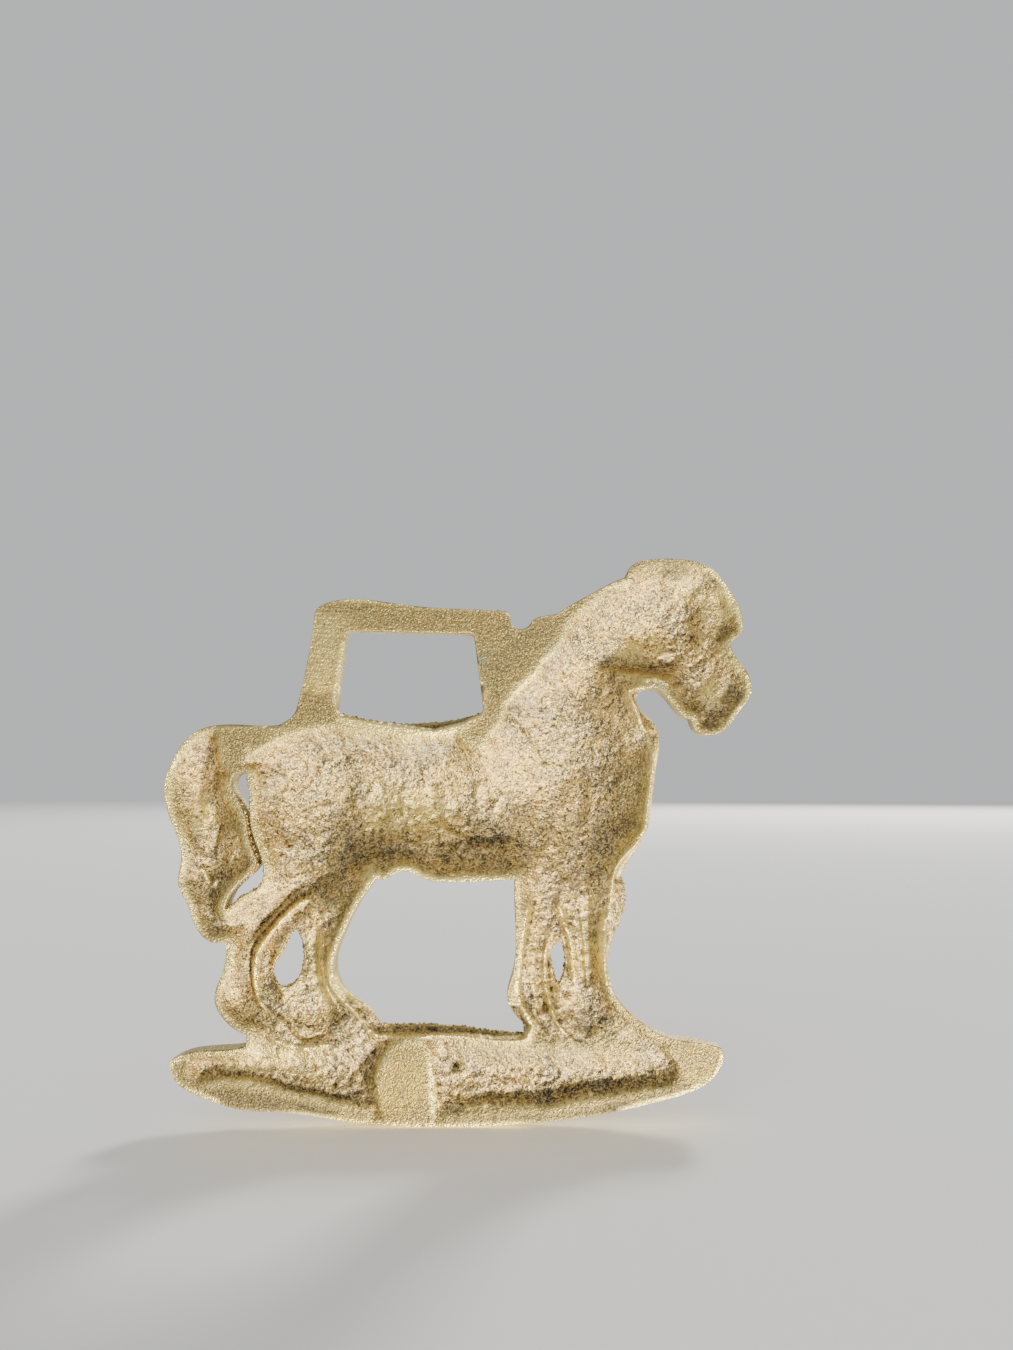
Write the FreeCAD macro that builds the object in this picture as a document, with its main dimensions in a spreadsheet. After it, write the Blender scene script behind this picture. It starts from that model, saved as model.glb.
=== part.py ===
import FreeCAD, Part
import math
import os

V = FreeCAD.Vector

# Cast brass harness ornament: a standing horse on a curved plinth, with a strap loop on its back.
# It is one hollow-backed casting, divided here along flat cuts into its named regions.
# Frame: +X towards the head, +Z up, the filed back lies in y = 0 and the relief rises towards +Y.
# The origin is the middle of the strap slot, on the back.

SIZES = [
    ("overall_length", 88.1, "tail to muzzle"),
    ("overall_height", 83.4, "lowest point of the plinth to the poll"),
    ("casting_depth", 9.2, "filed back to the highest point of the relief"),
    ("plate_thickness", 3.0, "flat plate of the loop, and the edge of the relief"),
    ("wall_thickness", 2.2, "metal left in front of each hollow"),
    ("slot_centre_height", 66.0, "middle of the slot above the lowest point of the plinth"),
    ("slot_height", 12.2, "strap slot, at its ends"),
    ("slot_width_top", 19.3, "strap slot, along the top bar"),
    ("slot_width_bottom", 22.3, "strap slot, along the horse's back"),
    ("slot_fall", 0.5, "how much lower the slot's top edge is at its front end"),
    ("slot_sag", 1.6, "dip of the slot's lower edge at its middle"),
    ("slot_corner_radius", 0.8, "corners of the strap slot"),
    ("rear_post_width", 4.9, "loop's rear post at its top"),
    ("rear_post_spread", 1.0, "how much wider the rear post is at its foot"),
    ("top_bar_width", 4.85, "loop's top bar at its rear end"),
    ("top_bar_taper", 1.35, "how much narrower the top bar is at its front end"),
    ("stub_width", 8.0, "filed stub of the pouring runner, across the plinth"),
    ("stub_wall", 0.9, "metal between the stub's side and the hollow beside it"),
    ("cut_margin", 1.0, "how far a cutting body passes the casting's faces"),
]

doc = FreeCAD.newDocument("horse_brass")
sheet = doc.addObject("Spreadsheet::Sheet", "sizes")
for row, (alias, value, note) in enumerate(SIZES, start=1):
    sheet.set(f"A{row}", note)
    sheet.set(f"B{row}", str(value))
    sheet.setAlias(f"B{row}", alias)
doc.recompute()


def size(alias):
    return float(sheet.get(alias))


# Outlines are drawn on a sheet 88.1 long and 83.4 high: x from the middle of the slot, z from the
# lowest point of the plinth. Changing the overall sizes stretches that drawing about the slot.
DRAWN_LENGTH, DRAWN_HEIGHT = 88.1, 83.4
stretch_x = size("overall_length") / DRAWN_LENGTH
stretch_z = size("overall_height") / DRAWN_HEIGHT
slot_centre_height = size("slot_centre_height")


def at(x, z):
    """A point of the drawing as sketch coordinates of the part's frame."""
    return V(x * stretch_x, (z - slot_centre_height) * stretch_z, 0)


def drawn(*points):
    return [at(x, z) for x, z in points]


# ---- strap slot and loop, from their own sizes -------------------------------------------------

half_top = size("slot_width_top") / 2
half_bottom = size("slot_width_bottom") / 2
slot_end_z = size("slot_height") / 2
slot_fall = size("slot_fall") / 2
slot_sag = size("slot_sag")

slot_corners = {
    "top_rear": V(-half_top, slot_end_z + slot_fall, 0),
    "top_front": V(half_top, slot_end_z - slot_fall, 0),
    "bottom_front": V(half_bottom, -slot_end_z, 0),
    "bottom_rear": V(-half_bottom, -slot_end_z, 0),
}


def slot_floor(x):
    """Height of the slot's sagging lower edge at x."""
    return -slot_end_z - slot_sag * (1 - (x / half_bottom) ** 2)


post_top = slot_corners["top_rear"] + V(-size("rear_post_width"), 2.8, 0)
post_foot = slot_corners["bottom_rear"] + V(-size("rear_post_width") - size("rear_post_spread"), 0.4, 0)
bar_rear = slot_corners["top_rear"] + V(0, size("top_bar_width"), 0)
bar_front = slot_corners["top_front"] + V(4.3, size("top_bar_width") - size("top_bar_taper"), 0)
bar_end = bar_front + V(1.3, -1.2, 0)


# ---- sketch helpers ----------------------------------------------------------------------------

def spline(points):
    curve = Part.BSplineCurve()
    curve.interpolate(points)
    return curve


def ring(points):
    curve = Part.BSplineCurve()
    curve.interpolate(points, PeriodicFlag=True)
    return curve


def polygon(points):
    return [Part.LineSegment(a, b) for a, b in zip(points, points[1:] + points[:1])]


def back_sketch(owner, name, geometry):
    """A sketch on the body's own XZ plane, which is the filed back."""
    sketch = owner.newObject("Sketcher::SketchObject", name)
    plane = next(item for item in owner.Origin.OriginFeatures if item.Role == "XZ_Plane")
    sketch.AttachmentSupport = [(plane, "")]
    sketch.MapMode = "FlatFace"
    for piece in geometry:
        sketch.addGeometry(piece, False)
    return sketch


def padded_body(name, geometry, through=False):
    """A body raised from the back to past the relief, or through both faces for a cutter."""
    owner = doc.addObject("PartDesign::Body", name)
    sketch = back_sketch(owner, name + "_sketch", geometry)
    pad = owner.newObject("PartDesign::Pad", name + "_pad")
    pad.Profile = sketch
    pad.Midplane = through
    pad.Reversed = not through
    reach = "sizes.casting_depth + sizes.cut_margin"
    pad.setExpression("Length", f"2 * ({reach})" if through else reach)
    owner.Tip = pad
    return owner


def shape_of(kind, name, **links):
    item = doc.addObject(kind, name)
    for link, target in links.items():
        setattr(item, link, target)
    return item


# ---- silhouette --------------------------------------------------------------------------------

SILHOUETTE = [
    # top of the loop, from the rear post to the notch before the mane
    [post_top, post_top + V(0.8, 0.95, 0), bar_rear + V(-2.6, -0.45, 0), bar_rear,
     (bar_rear * 3 + bar_front) * 0.25, (bar_rear + bar_front) * 0.5 + V(0, -0.3, 0),
     (bar_rear + bar_front * 3) * 0.25 + V(0, -0.15, 0), bar_front],
    [bar_front, bar_front + V(0.8, -0.4, 0), bar_end],
    # notch and the nub where the mane starts
    [bar_end] + drawn((15.9, 72.8), (17.0, 72.6), (17.9, 73.0), (18.6, 73.9), (20.2, 74.6), (22.2, 74.9)),
    # crest of the neck
    drawn((22.2, 74.9), (25.3, 76.8), (28.4, 78.5), (31.0, 79.9), (32.7, 80.5)),
    # poll, forelock and forehead
    drawn((32.7, 80.5), (34.4, 82.8), (37.2, 83.4), (42.0, 83.3), (45.4, 82.3), (47.8, 79.8),
          (49.6, 76.9), (50.5, 73.9), (50.2, 71.9)),
    drawn((50.2, 71.9), (48.5, 70.4)),
    # nose, lips and chin
    drawn((48.5, 70.4), (50.0, 67.4), (51.3, 65.3), (51.3, 62.4), (49.5, 59.9), (47.9, 57.8),
          (45.6, 56.5), (43.6, 56.8), (42.4, 58.9)),
    # jaw and throat
    drawn((42.4, 58.9), (39.0, 61.9), (37.4, 63.4), (35.7, 63.5), (34.5, 62.4)),
    # breast
    drawn((34.5, 62.4), (35.6, 59.9), (37.2, 58.2), (37.8, 55.2), (37.1, 50.4), (36.5, 45.4),
          (35.2, 41.2), (32.9, 37.6), (31.7, 35.4)),
    # front of the fore legs
    drawn((31.7, 35.4), (32.3, 33.2), (31.6, 29.2), (29.8, 24.0), (29.8, 20.6), (30.6, 18.3),
          (34.0, 14.9), (37.6, 12.7), (41.2, 12.0), (45.6, 11.2)),
    # foot of the plinth
    drawn((45.6, 11.2), (46.1, 10.0), (44.6, 6.9), (40.7, 4.7), (35.0, 3.2), (28.5, 1.8),
          (20.3, 0.8), (12.0, 0.15), (4.0, 0.0), (-3.6, 0.35), (-10.2, 1.05), (-17.6, 2.1),
          (-24.1, 2.5), (-29.3, 4.1), (-33.0, 6.1), (-34.3, 9.2)),
    # rear top of the plinth
    drawn((-34.3, 9.2), (-31.0, 10.5), (-27.1, 10.8), (-23.3, 11.3)),
    drawn((-23.3, 11.3), (-23.2, 12.9)),
    # heel and cannon of the hind leg
    drawn((-23.2, 12.9), (-26.6, 15.1), (-28.0, 17.8), (-27.2, 21.3), (-26.95, 26.2)),
    # tail, croup and foot of the rear post
    drawn((-26.95, 26.2), (-29.0, 26.2), (-31.3, 28.6), (-32.6, 31.8), (-33.9, 34.4), (-33.6, 38.2),
          (-34.9, 42.8), (-36.5, 47.9), (-35.3, 53.0), (-32.2, 56.9), (-28.0, 58.1), (-24.0, 58.0))
    + [V(post_foot.x - 2.2, at(0, 58.3).y, 0), V(post_foot.x - 0.9, at(0, 59.0).y, 0), post_foot],
    [post_foot, (post_foot + post_top) * 0.5 + V(0.3, 0, 0), post_top],
]

BELLY_WINDOW = [
    drawn((-4.7, 35.3), (-2.9, 35.4), (-1.3, 36.3), (0.4, 36.1), (2.6, 35.2), (7.5, 34.8), (11.4, 34.9),
          (15.8, 35.2)),
    drawn((15.8, 35.2), (15.8, 31.0), (16.0, 25.8), (15.5, 21.5), (14.7, 18.3), (15.6, 15.8), (17.4, 14.0)),
    drawn((17.4, 14.0), (17.3, 12.8)),
    drawn((17.3, 12.8), (13.5, 12.9), (9.0, 13.6), (3.0, 14.0), (-4.0, 14.0)),
    drawn((-4.0, 14.0), (-6.6, 17.2), (-9.6, 19.3), (-10.8, 22.4), (-9.8, 26.4), (-7.6, 31.0), (-4.7, 35.3)),
]

TAIL_GAP = [
    drawn((-24.5, 51.1), (-26.5, 49.6), (-25.3, 46.8), (-24.15, 43.9), (-23.2, 39.9), (-22.4, 37.6),
          (-24.4, 35.0), (-26.2, 32.9), (-26.95, 30.4)),
    drawn((-26.95, 30.4), (-25.6, 31.9), (-23.6, 33.2), (-22.1, 34.0), (-21.4, 36.7), (-22.5, 40.1),
          (-23.5, 43.5), (-23.75, 47.0), (-24.5, 51.1)),
]

HIND_LEG_GAP = drawn((-16.6, 27.5), (-15.6, 24.8), (-15.9, 21.6), (-17.2, 19.6), (-19.4, 19.9),
                     (-20.3, 21.7), (-19.0, 24.0))
FORE_LEG_GAP = drawn((22.5, 25.9), (21.3, 24.9), (21.3, 22.4), (22.3, 19.8), (23.1, 21.4), (23.2, 24.6))

slot_edges = [
    Part.LineSegment(slot_corners["bottom_rear"], slot_corners["top_rear"]),
    Part.LineSegment(slot_corners["top_rear"], slot_corners["top_front"]),
    Part.LineSegment(slot_corners["top_front"], slot_corners["bottom_front"]),
    Part.Arc(slot_corners["bottom_front"], V(0, slot_floor(0), 0), slot_corners["bottom_rear"]),
]

silhouette = padded_body("silhouette", [spline(run) for run in SILHOUETTE]
                         + [spline(run) for run in BELLY_WINDOW]
                         + [spline(run) for run in TAIL_GAP]
                         + [ring(HIND_LEG_GAP), ring(FORE_LEG_GAP)])


def cut_strap_slot(owner):
    """The strap slot as a pocket right through the plate, its corners rounded."""
    pocket = owner.newObject("PartDesign::Pocket", "strap_slot")
    pocket.Profile = back_sketch(owner, "strap_slot_sketch", slot_edges)
    pocket.Type = "ThroughAll"
    pocket.Midplane = True
    owner.Tip = pocket
    doc.recompute()
    corners = []
    for number, edge in enumerate(pocket.Shape.Edges, start=1):
        ends = [vertex.Point for vertex in edge.Vertexes]
        upright = len(ends) == 2 and abs((ends[1] - ends[0]).normalize().y) > 0.999
        if upright and any(math.hypot(ends[0].x - corner.x, ends[0].z - corner.y) < 0.01
                           for corner in slot_corners.values()):
            corners.append(f"Edge{number}")
    fillet = owner.newObject("PartDesign::Fillet", "strap_slot_corners")
    fillet.Base = (pocket, corners)
    fillet.setExpression("Radius", "sizes.slot_corner_radius")
    owner.Tip = fillet


cut_strap_slot(silhouette)


# ---- relief ------------------------------------------------------------------------------------

# Each swelling of the horse runs from one point of the drawing to another, with a radius at each
# and a height, as a share of the relief that stands above the plate.
SWELLINGS = [
    ("barrel", (-8, 47.0, 10.0), (20, 47.0, 10.5), 0.90),
    ("croup", (-15, 49.0, 9.5), (-14, 42.0, 9.5), 0.88),
    ("shoulder", (26, 51.0, 9.5), (26, 43.0, 9.0), 0.95),
    ("neck", (23, 60.0, 9.0), (33, 70.0, 8.5), 0.72),
    ("cheek", (39, 73.0, 7.5), (40, 70.0, 6.5), 0.74),
    ("face", (42, 73.0, 6.5), (47, 62.0, 5.0), 0.58),
    ("upper tail", (-30, 51.5, 5.5), (-31, 42.0, 5.0), 0.46),
    ("lower tail", (-31, 42.0, 5.0), (-29.6, 30.0, 3.2), 0.40),
    ("gaskin", (-17, 38.0, 7.5), (-23, 28.0, 3.8), 0.60),
    ("hind cannon", (-23.4, 28.0, 3.2), (-24, 17.0, 3.4), 0.46),
    ("far hind leg", (-12.3, 32.0, 4.5), (-13.0, 17.0, 3.6), 0.38),
    ("near forearm", (19.0, 35.0, 4.2), (18.6, 18.0, 3.2), 0.44),
    ("far forearm", (27.5, 36.0, 4.6), (26.8, 18.0, 3.2), 0.50),
    ("rear plinth", (-30, 7.4, 3.4), (-2, 6.8, 4.6), 0.28),
    ("front plinth", (-2, 6.8, 4.6), (41, 8.4, 3.4), 0.28),
]
GRID_STEP = 2.0
SHARPNESS = 4


def swell(x, z, start, end, height):
    """Height of one swelling at a point: full along its middle, easing to nothing at its edge."""
    run_x, run_z = end[0] - start[0], end[1] - start[1]
    along = ((x - start[0]) * run_x + (z - start[1]) * run_z) / (run_x ** 2 + run_z ** 2)
    along = min(max(along, 0), 1)
    radius = start[2] + (end[2] - start[2]) * along
    away = math.hypot(x - start[0] - run_x * along, z - start[1] - run_z * along) / radius
    return height * math.exp(-away ** 3)


def relief_share(x, z):
    """All swellings flowed together, as a share of the relief."""
    return sum(swell(x, z, a, b, top) ** SHARPNESS for _, a, b, top in SWELLINGS) ** (1 / SHARPNESS)


def relief_shares():
    columns = round((DRAWN_LENGTH + 10) / GRID_STEP)
    rows = round((DRAWN_HEIGHT + 10) / GRID_STEP)
    return [[(x, z, relief_share(x, z))
             for z in (-5 + GRID_STEP * row for row in range(rows + 1))]
            for x in (-42 + GRID_STEP * column for column in range(columns + 1))]


SHARES = relief_shares()
full_share = max(share for column in SHARES for _, _, share in column)


def solid_behind(name, surface_lift):
    """Everything behind the relief surface, which is moved along Y by surface_lift."""
    relief = size("casting_depth") - size("plate_thickness")
    base = size("plate_thickness") + surface_lift
    grid = [[V(at(x, z).x, base + relief * share / full_share, at(x, z).y) for x, z, share in column]
            for column in SHARES]
    surface = Part.BSplineSurface()
    surface.interpolate(grid)
    reach = size("casting_depth") + 2 * size("cut_margin")
    item = doc.addObject("Part::Feature", name)
    item.Shape = surface.toShape().extrude(V(0, -2 * reach, 0))
    return item


relief_metal = solid_behind("relief_metal", 0)
hollow_core = solid_behind("hollow_core", -size("wall_thickness"))
relief_casting = shape_of("Part::Common", "relief_casting", Base=silhouette, Tool=relief_metal)


# ---- hollows of the back -----------------------------------------------------------------------

stub_side = size("stub_width") / 2
hollow_end = stub_side + size("stub_wall")


def stub_end_of_hollow(side, low, high, bottom, top):
    """Rounded end of a plinth hollow, beside the runner stub; side is -1 behind it, 1 ahead of it."""
    face, shoulder = side * hollow_end, side * (hollow_end + 1.5)
    return [V(shoulder, at(0, bottom).y, 0), V(face, at(0, low).y, 0),
            V(face, at(0, high).y, 0), V(shoulder, at(0, top).y, 0)]


HOLLOWS = {
    "body_hollow": drawn(
        (-19.8, 54.9), (-16.0, 56.5), (-10.0, 56.8), (-2.0, 56.2), (6.5, 56.3), (11.2, 56.3), (13.6, 58.6),
        (15.4, 62.6), (18.6, 65.8), (21.0, 69.4), (23.2, 72.8), (27.0, 76.0), (32.2, 78.2), (37.0, 80.9),
        (42.4, 82.0), (46.4, 80.0), (48.7, 76.2), (49.0, 73.3), (46.6, 70.6), (48.0, 67.0), (49.8, 63.6),
        (48.5, 60.6), (45.0, 58.9), (42.0, 61.0), (38.6, 64.4), (34.8, 65.2), (32.8, 62.4), (34.0, 58.0),
        (35.2, 53.0), (34.6, 47.0), (33.0, 42.0), (29.4, 38.8), (24.0, 37.6), (16.0, 37.4), (8.0, 36.5),
        (1.0, 37.9), (-4.6, 37.6), (-10.5, 35.6), (-16.2, 36.0), (-18.9, 39.0), (-20.8, 43.4),
        (-21.9, 48.6), (-21.4, 52.6)),
    "tail_hollow": drawn(
        (-32.0, 55.2), (-34.4, 52.6), (-35.2, 48.8), (-33.8, 43.4), (-32.4, 38.4), (-32.4, 34.6),
        (-30.2, 32.6), (-27.4, 35.0), (-25.0, 38.6), (-25.3, 42.4), (-27.6, 46.2), (-28.9, 50.4),
        (-29.3, 54.2)),
    "hind_leg_hollow": drawn(
        (-18.6, 32.6), (-22.4, 31.4), (-25.4, 29.0), (-25.6, 23.4), (-26.3, 18.8), (-24.0, 16.6),
        (-22.2, 19.4), (-21.5, 23.4), (-19.6, 26.6), (-17.6, 30.0)),
    "far_hind_leg_hollow": drawn(
        (-12.6, 31.6), (-14.4, 28.0), (-14.4, 23.4), (-14.6, 18.6), (-12.4, 17.0), (-11.6, 19.6),
        (-12.0, 23.2), (-11.1, 27.6)),
    "near_fore_leg_hollow": drawn(
        (18.6, 34.8), (17.2, 31.0), (17.3, 25.0), (16.4, 19.4), (18.0, 16.0), (20.0, 18.4), (20.1, 24.0),
        (20.3, 29.0), (21.0, 33.4)),
    "far_fore_leg_hollow": drawn(
        (26.0, 35.6), (24.2, 31.6), (24.5, 24.0), (24.4, 18.4), (26.6, 15.8), (28.3, 19.0), (28.2, 24.0),
        (29.6, 29.8), (29.4, 34.0)),
    "rear_plinth_hollow": stub_end_of_hollow(-1, 4.9, 9.6, 3.5, 11.1) + drawn(
        (-12.0, 10.9), (-20.0, 10.0), (-28.0, 9.5), (-32.0, 8.2), (-29.0, 6.4), (-22.0, 5.8), (-13.0, 4.0)),
    "front_plinth_hollow": stub_end_of_hollow(1, 4.2, 9.5, 2.5, 11.3) + drawn(
        (12.0, 11.2), (18.0, 10.9), (30.0, 10.4), (38.3, 9.1), (38.3, 6.3), (31.0, 4.8), (22.0, 3.2),
        (13.0, 2.6)),
}

hollow_cutters = [padded_body(name, [ring(points)], through=True) for name, points in HOLLOWS.items()]
hollow_plan = shape_of("Part::MultiFuse", "hollow_plan", Shapes=hollow_cutters)
hollows = shape_of("Part::Common", "hollows", Base=hollow_plan, Tool=hollow_core)
casting = shape_of("Part::Cut", "casting", Base=relief_casting, Tool=hollows)


# ---- regions of the casting --------------------------------------------------------------------

bar_cut = half_top
post_cut = V(-bar_cut, slot_floor(bar_cut), 0)
web_cut = V(bar_cut, slot_floor(bar_cut), 0)
above = at(0, DRAWN_HEIGHT + 8).y
below = at(0, -5).y
ahead = at(60, 0).x
behind = at(-46, 0).x

dock = at(-24.2, 58.29)
croup_low = at(-22.3, 35.2)
stifle = at(-14.6, 32.0)
flank = at(-4.9, 35.4)
flank_top = at(-8.0, 41.0)
withers = at(13.0, 59.3)
crest = at(21.6, 74.0)
throat = at(35.6, 62.6)
poll = at(33.0, 80.2)
elbow = at(15.5, 35.25)
forearm_top = at(22.3, 35.6)
hoof_split = at(22.3, 13.3)
fore_heel = at(17.0, 13.3)
hind_hoof_split = at(-17.6, 12.1)
hock_line = drawn((-24.6, 33.8), (-26.5, 31.9), (-26.95, 30.4), (-27.05, 25.9))
slit_line = drawn((-22.4, 38.2), (-23.2, 41.0), (-23.85, 44.2), (-24.4, 50.5))
web_line = drawn((15.2, 63.0), (19.0, 67.2))
jaw_line = [at(39.6, 58.0), at(41.0, 50.0)]
window_front = drawn((12.0, 33.6), (12.0, 15.5))
window_rear = drawn((-3.6, 33.0), (-3.6, 16.0))
stub_rear = V(-stub_side, at(0, 12.9).y, 0)

REGIONS = {
    "loop_rear_post": [V(dock.x, above, 0), V(-bar_cut, above, 0), post_cut, dock],
    "loop_top_bar": [V(-bar_cut, above, 0), V(bar_cut, above, 0), V(bar_cut, 0, 0), V(-bar_cut, 0, 0)],
    "loop_front_web": [V(bar_cut, above, 0), V(crest.x, above, 0), crest, *web_line[::-1], withers, web_cut],
    "head": [V(poll.x, above, 0), V(ahead, above, 0), V(ahead, jaw_line[1].y, 0), *jaw_line[::-1], throat,
             at(35.6, 72.0), poll],
    "neck": [V(crest.x, above, 0), V(poll.x, above, 0), poll, at(35.6, 72.0), throat, at(32.5, 60.2),
             withers, *web_line, crest],
    "forequarter": [withers, at(32.5, 60.2), throat, *jaw_line, V(jaw_line[1].x, forearm_top.y, 0),
                    forearm_top, elbow, at(13.0, 33.6)],
    "barrel": [post_cut, V(-bar_cut, 0, 0), V(bar_cut, 0, 0), web_cut, withers, at(13.0, 33.6),
               window_rear[0], flank, flank_top],
    "hindquarter": [post_cut, flank_top, flank, stifle, croup_low, *slit_line, dock],
    "tail": [dock, V(dock.x, above, 0), V(behind, above, 0), V(behind, at(0, 22).y, 0), at(-34.0, 22.0),
             *hock_line[::-1], croup_low, *slit_line],
    "near_hind_leg": [croup_low, *hock_line, at(-34.0, 22.0), at(-34.0, 12.1), hind_hoof_split,
                      at(-17.6, 20.5), at(-16.7, 27.0), stifle],
    "far_hind_leg": [stifle, at(-16.7, 27.0), at(-17.6, 20.5), hind_hoof_split, stub_rear,
                     window_rear[1], window_rear[0], flank],
    "near_fore_leg": [at(13.0, 33.6), elbow, forearm_top, hoof_split, fore_heel, window_front[1],
                      window_front[0]],
    "far_fore_leg": [forearm_top, V(jaw_line[1].x, forearm_top.y, 0), V(jaw_line[1].x, hoof_split.y, 0),
                     hoof_split],
    "plinth_rear": [at(-34.0, 12.1), V(behind, at(0, 12.1).y, 0), V(behind, below, 0),
                    V(-stub_side, below, 0), stub_rear, hind_hoof_split],
    "runner_stub": [V(-stub_side, below, 0), V(stub_side, below, 0), V(stub_side, window_rear[1].y, 0),
                    window_rear[1], stub_rear],
    "plinth_front": [V(stub_side, below, 0), V(ahead, below, 0), V(ahead, hoof_split.y, 0), hoof_split,
                     fore_heel, window_front[1], V(stub_side, window_rear[1].y, 0)],
}

nodes = []
for name, corners in REGIONS.items():
    region = padded_body(name + "_region", polygon(corners), through=True)
    node = shape_of("Part::Common", name, Base=casting, Tool=region)
    node.Label = name
    nodes.append(node)

doc.recompute()

for item in doc.Objects:
    if "Invalid" in item.State or "Error" in item.State:
        raise RuntimeError(f"{item.Name} failed: {item.State}")
for node in nodes:
    if node.Shape.isNull() or not node.Shape.isValid() or not node.Shape.Solids:
        raise RuntimeError(f"{node.Label} has no valid shape")

os.makedirs("parts", exist_ok=True)
for node in nodes:
    node.Shape.exportStep(f"parts/{node.Label}.step")
    box = node.Shape.BoundBox
    print(f"{node.Label:16s} solids {len(node.Shape.Solids)}  volume {node.Shape.Volume:8.1f}  "
          f"x {box.XMin:6.1f} {box.XMax:6.1f}  y {box.YMin:5.2f} {box.YMax:5.2f}  "
          f"z {box.ZMin:6.1f} {box.ZMax:6.1f}")
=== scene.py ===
"""The looks of a hollow-backed cast brass harness ornament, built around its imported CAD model."""
import math

import bpy
import numpy as np
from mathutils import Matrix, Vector, kdtree
from mathutils.bvhtree import BVHTree


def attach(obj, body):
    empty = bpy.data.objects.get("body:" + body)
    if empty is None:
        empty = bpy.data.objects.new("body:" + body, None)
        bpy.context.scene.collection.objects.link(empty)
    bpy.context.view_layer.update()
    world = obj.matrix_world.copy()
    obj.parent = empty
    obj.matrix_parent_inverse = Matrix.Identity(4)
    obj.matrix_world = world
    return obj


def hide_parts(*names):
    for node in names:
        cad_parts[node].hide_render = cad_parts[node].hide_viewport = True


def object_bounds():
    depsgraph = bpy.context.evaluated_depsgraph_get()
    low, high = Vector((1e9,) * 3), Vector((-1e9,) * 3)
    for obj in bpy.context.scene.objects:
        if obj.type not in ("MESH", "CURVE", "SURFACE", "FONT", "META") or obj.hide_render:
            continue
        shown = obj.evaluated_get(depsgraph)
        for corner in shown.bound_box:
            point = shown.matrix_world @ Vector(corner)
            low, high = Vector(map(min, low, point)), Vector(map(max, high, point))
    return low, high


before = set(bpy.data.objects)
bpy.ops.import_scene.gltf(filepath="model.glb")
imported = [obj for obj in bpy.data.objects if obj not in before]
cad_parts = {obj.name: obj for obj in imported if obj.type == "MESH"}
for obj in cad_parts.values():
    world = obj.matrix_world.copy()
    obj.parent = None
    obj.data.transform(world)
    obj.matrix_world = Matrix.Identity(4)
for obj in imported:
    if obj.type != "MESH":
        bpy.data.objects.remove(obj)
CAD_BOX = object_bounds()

MM = 0.001
SEED = 11

# The net of samples laid over the casting, in millimetres.
NET_STEP = 0.17
NET_MARGIN = 2.37
BISECTIONS = 7

# Edges and rims, in millimetres.
BACK_EDGE = 0.16
FRONT_EDGE = 0.42
EDGE_REACH = 1.1
LEAST_METAL = 1.1

LOW = [c / MM for c in CAD_BOX[0]]
HIGH = [c / MM for c in CAD_BOX[1]]
PLINTH_BOTTOM = LOW[2]


# --- the net ---

def cad_skin():
    """One search tree over every CAD node, and the node that each of its faces belongs to."""
    corners, faces, owners = [], [], []
    for index, name in enumerate(NODES):
        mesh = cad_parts[name].data
        start = len(corners)
        corners.extend(v.co / MM for v in mesh.vertices)
        for face in mesh.polygons:
            faces.append([start + k for k in face.vertices])
            owners.append(index)
    return BVHTree.FromPolygons(corners, faces), owners


NODES = sorted(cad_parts)
SKIN, OWNERS = cad_skin()
OUTSIDE = -1
CLEAR = 5
FROM_BACK = (LOW[1] - CLEAR, Vector((0, 1, 0)))
FROM_FRONT = (HIGH[1] + CLEAR, Vector((0, -1, 0)))


def strike(x, z, side):
    """The node and the height that a straight line across the casting meets first, from one side."""
    start, along = side
    place, _, face, _ = SKIN.ray_cast(Vector((x, start, z)), along)
    return (OUTSIDE, 0.0) if place is None else (OWNERS[face], place.y)


def probe_net():
    """The node and the front height at every sample of the net."""
    node = np.full((len(XS), len(ZS)), OUTSIDE, int)
    front = np.zeros(node.shape)
    for i, x in enumerate(XS):
        for j, z in enumerate(ZS):
            owner, _ = strike(x, z, FROM_BACK)
            if owner == OUTSIDE:
                continue
            other, far = strike(x, z, FROM_FRONT)
            if other != OUTSIDE:
                node[i, j], front[i, j] = owner, far
    return node, front


def crossing(inner, outer, owner):
    """The point between two samples where one node ends."""
    for _ in range(BISECTIONS):
        middle = (inner + outer) / 2
        if strike(middle[0], middle[1], FROM_BACK)[0] == owner:
            inner = middle
        else:
            outer = middle
    return (inner + outer) / 2


def knots():
    """A knot for each cell between four samples: its centre, or the mean of the edges that cross it."""
    shape = (len(XS) - 1, len(ZS) - 1)
    total, count = np.zeros(shape + (2,)), np.zeros(shape, int)
    outline = []
    for step, cells in (((1, 0), ((0, -1), (0, 0))), ((0, 1), ((-1, 0), (0, 0)))):
        first = NODE[: len(XS) - step[0], : len(ZS) - step[1]]
        second = NODE[step[0]:, step[1]:]
        for i, j in np.argwhere(first != second):
            a = np.array((XS[i], ZS[j]))
            b = np.array((XS[i + step[0]], ZS[j + step[1]]))
            if first[i, j] == OUTSIDE:
                point = crossing(b, a, second[i, j])
            else:
                point = crossing(a, b, first[i, j])
            if OUTSIDE in (first[i, j], second[i, j]):
                outline.append(point)
            for di, dj in cells:
                total[i + di, j + dj] += point
                count[i + di, j + dj] += 1
    centres = np.stack(np.meshgrid((XS[:-1] + XS[1:]) / 2, (ZS[:-1] + ZS[1:]) / 2, indexing="ij"), -1)
    crossed = count > 0
    centres[crossed] = total[crossed] / count[crossed][:, None]
    return centres, outline


def outline_tree(points):
    """A search tree over the points of the outline."""
    tree = kdtree.KDTree(len(points))
    for index, (x, z) in enumerate(points):
        tree.insert((x, 0, z), index)
    tree.balance()
    return tree


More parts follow.
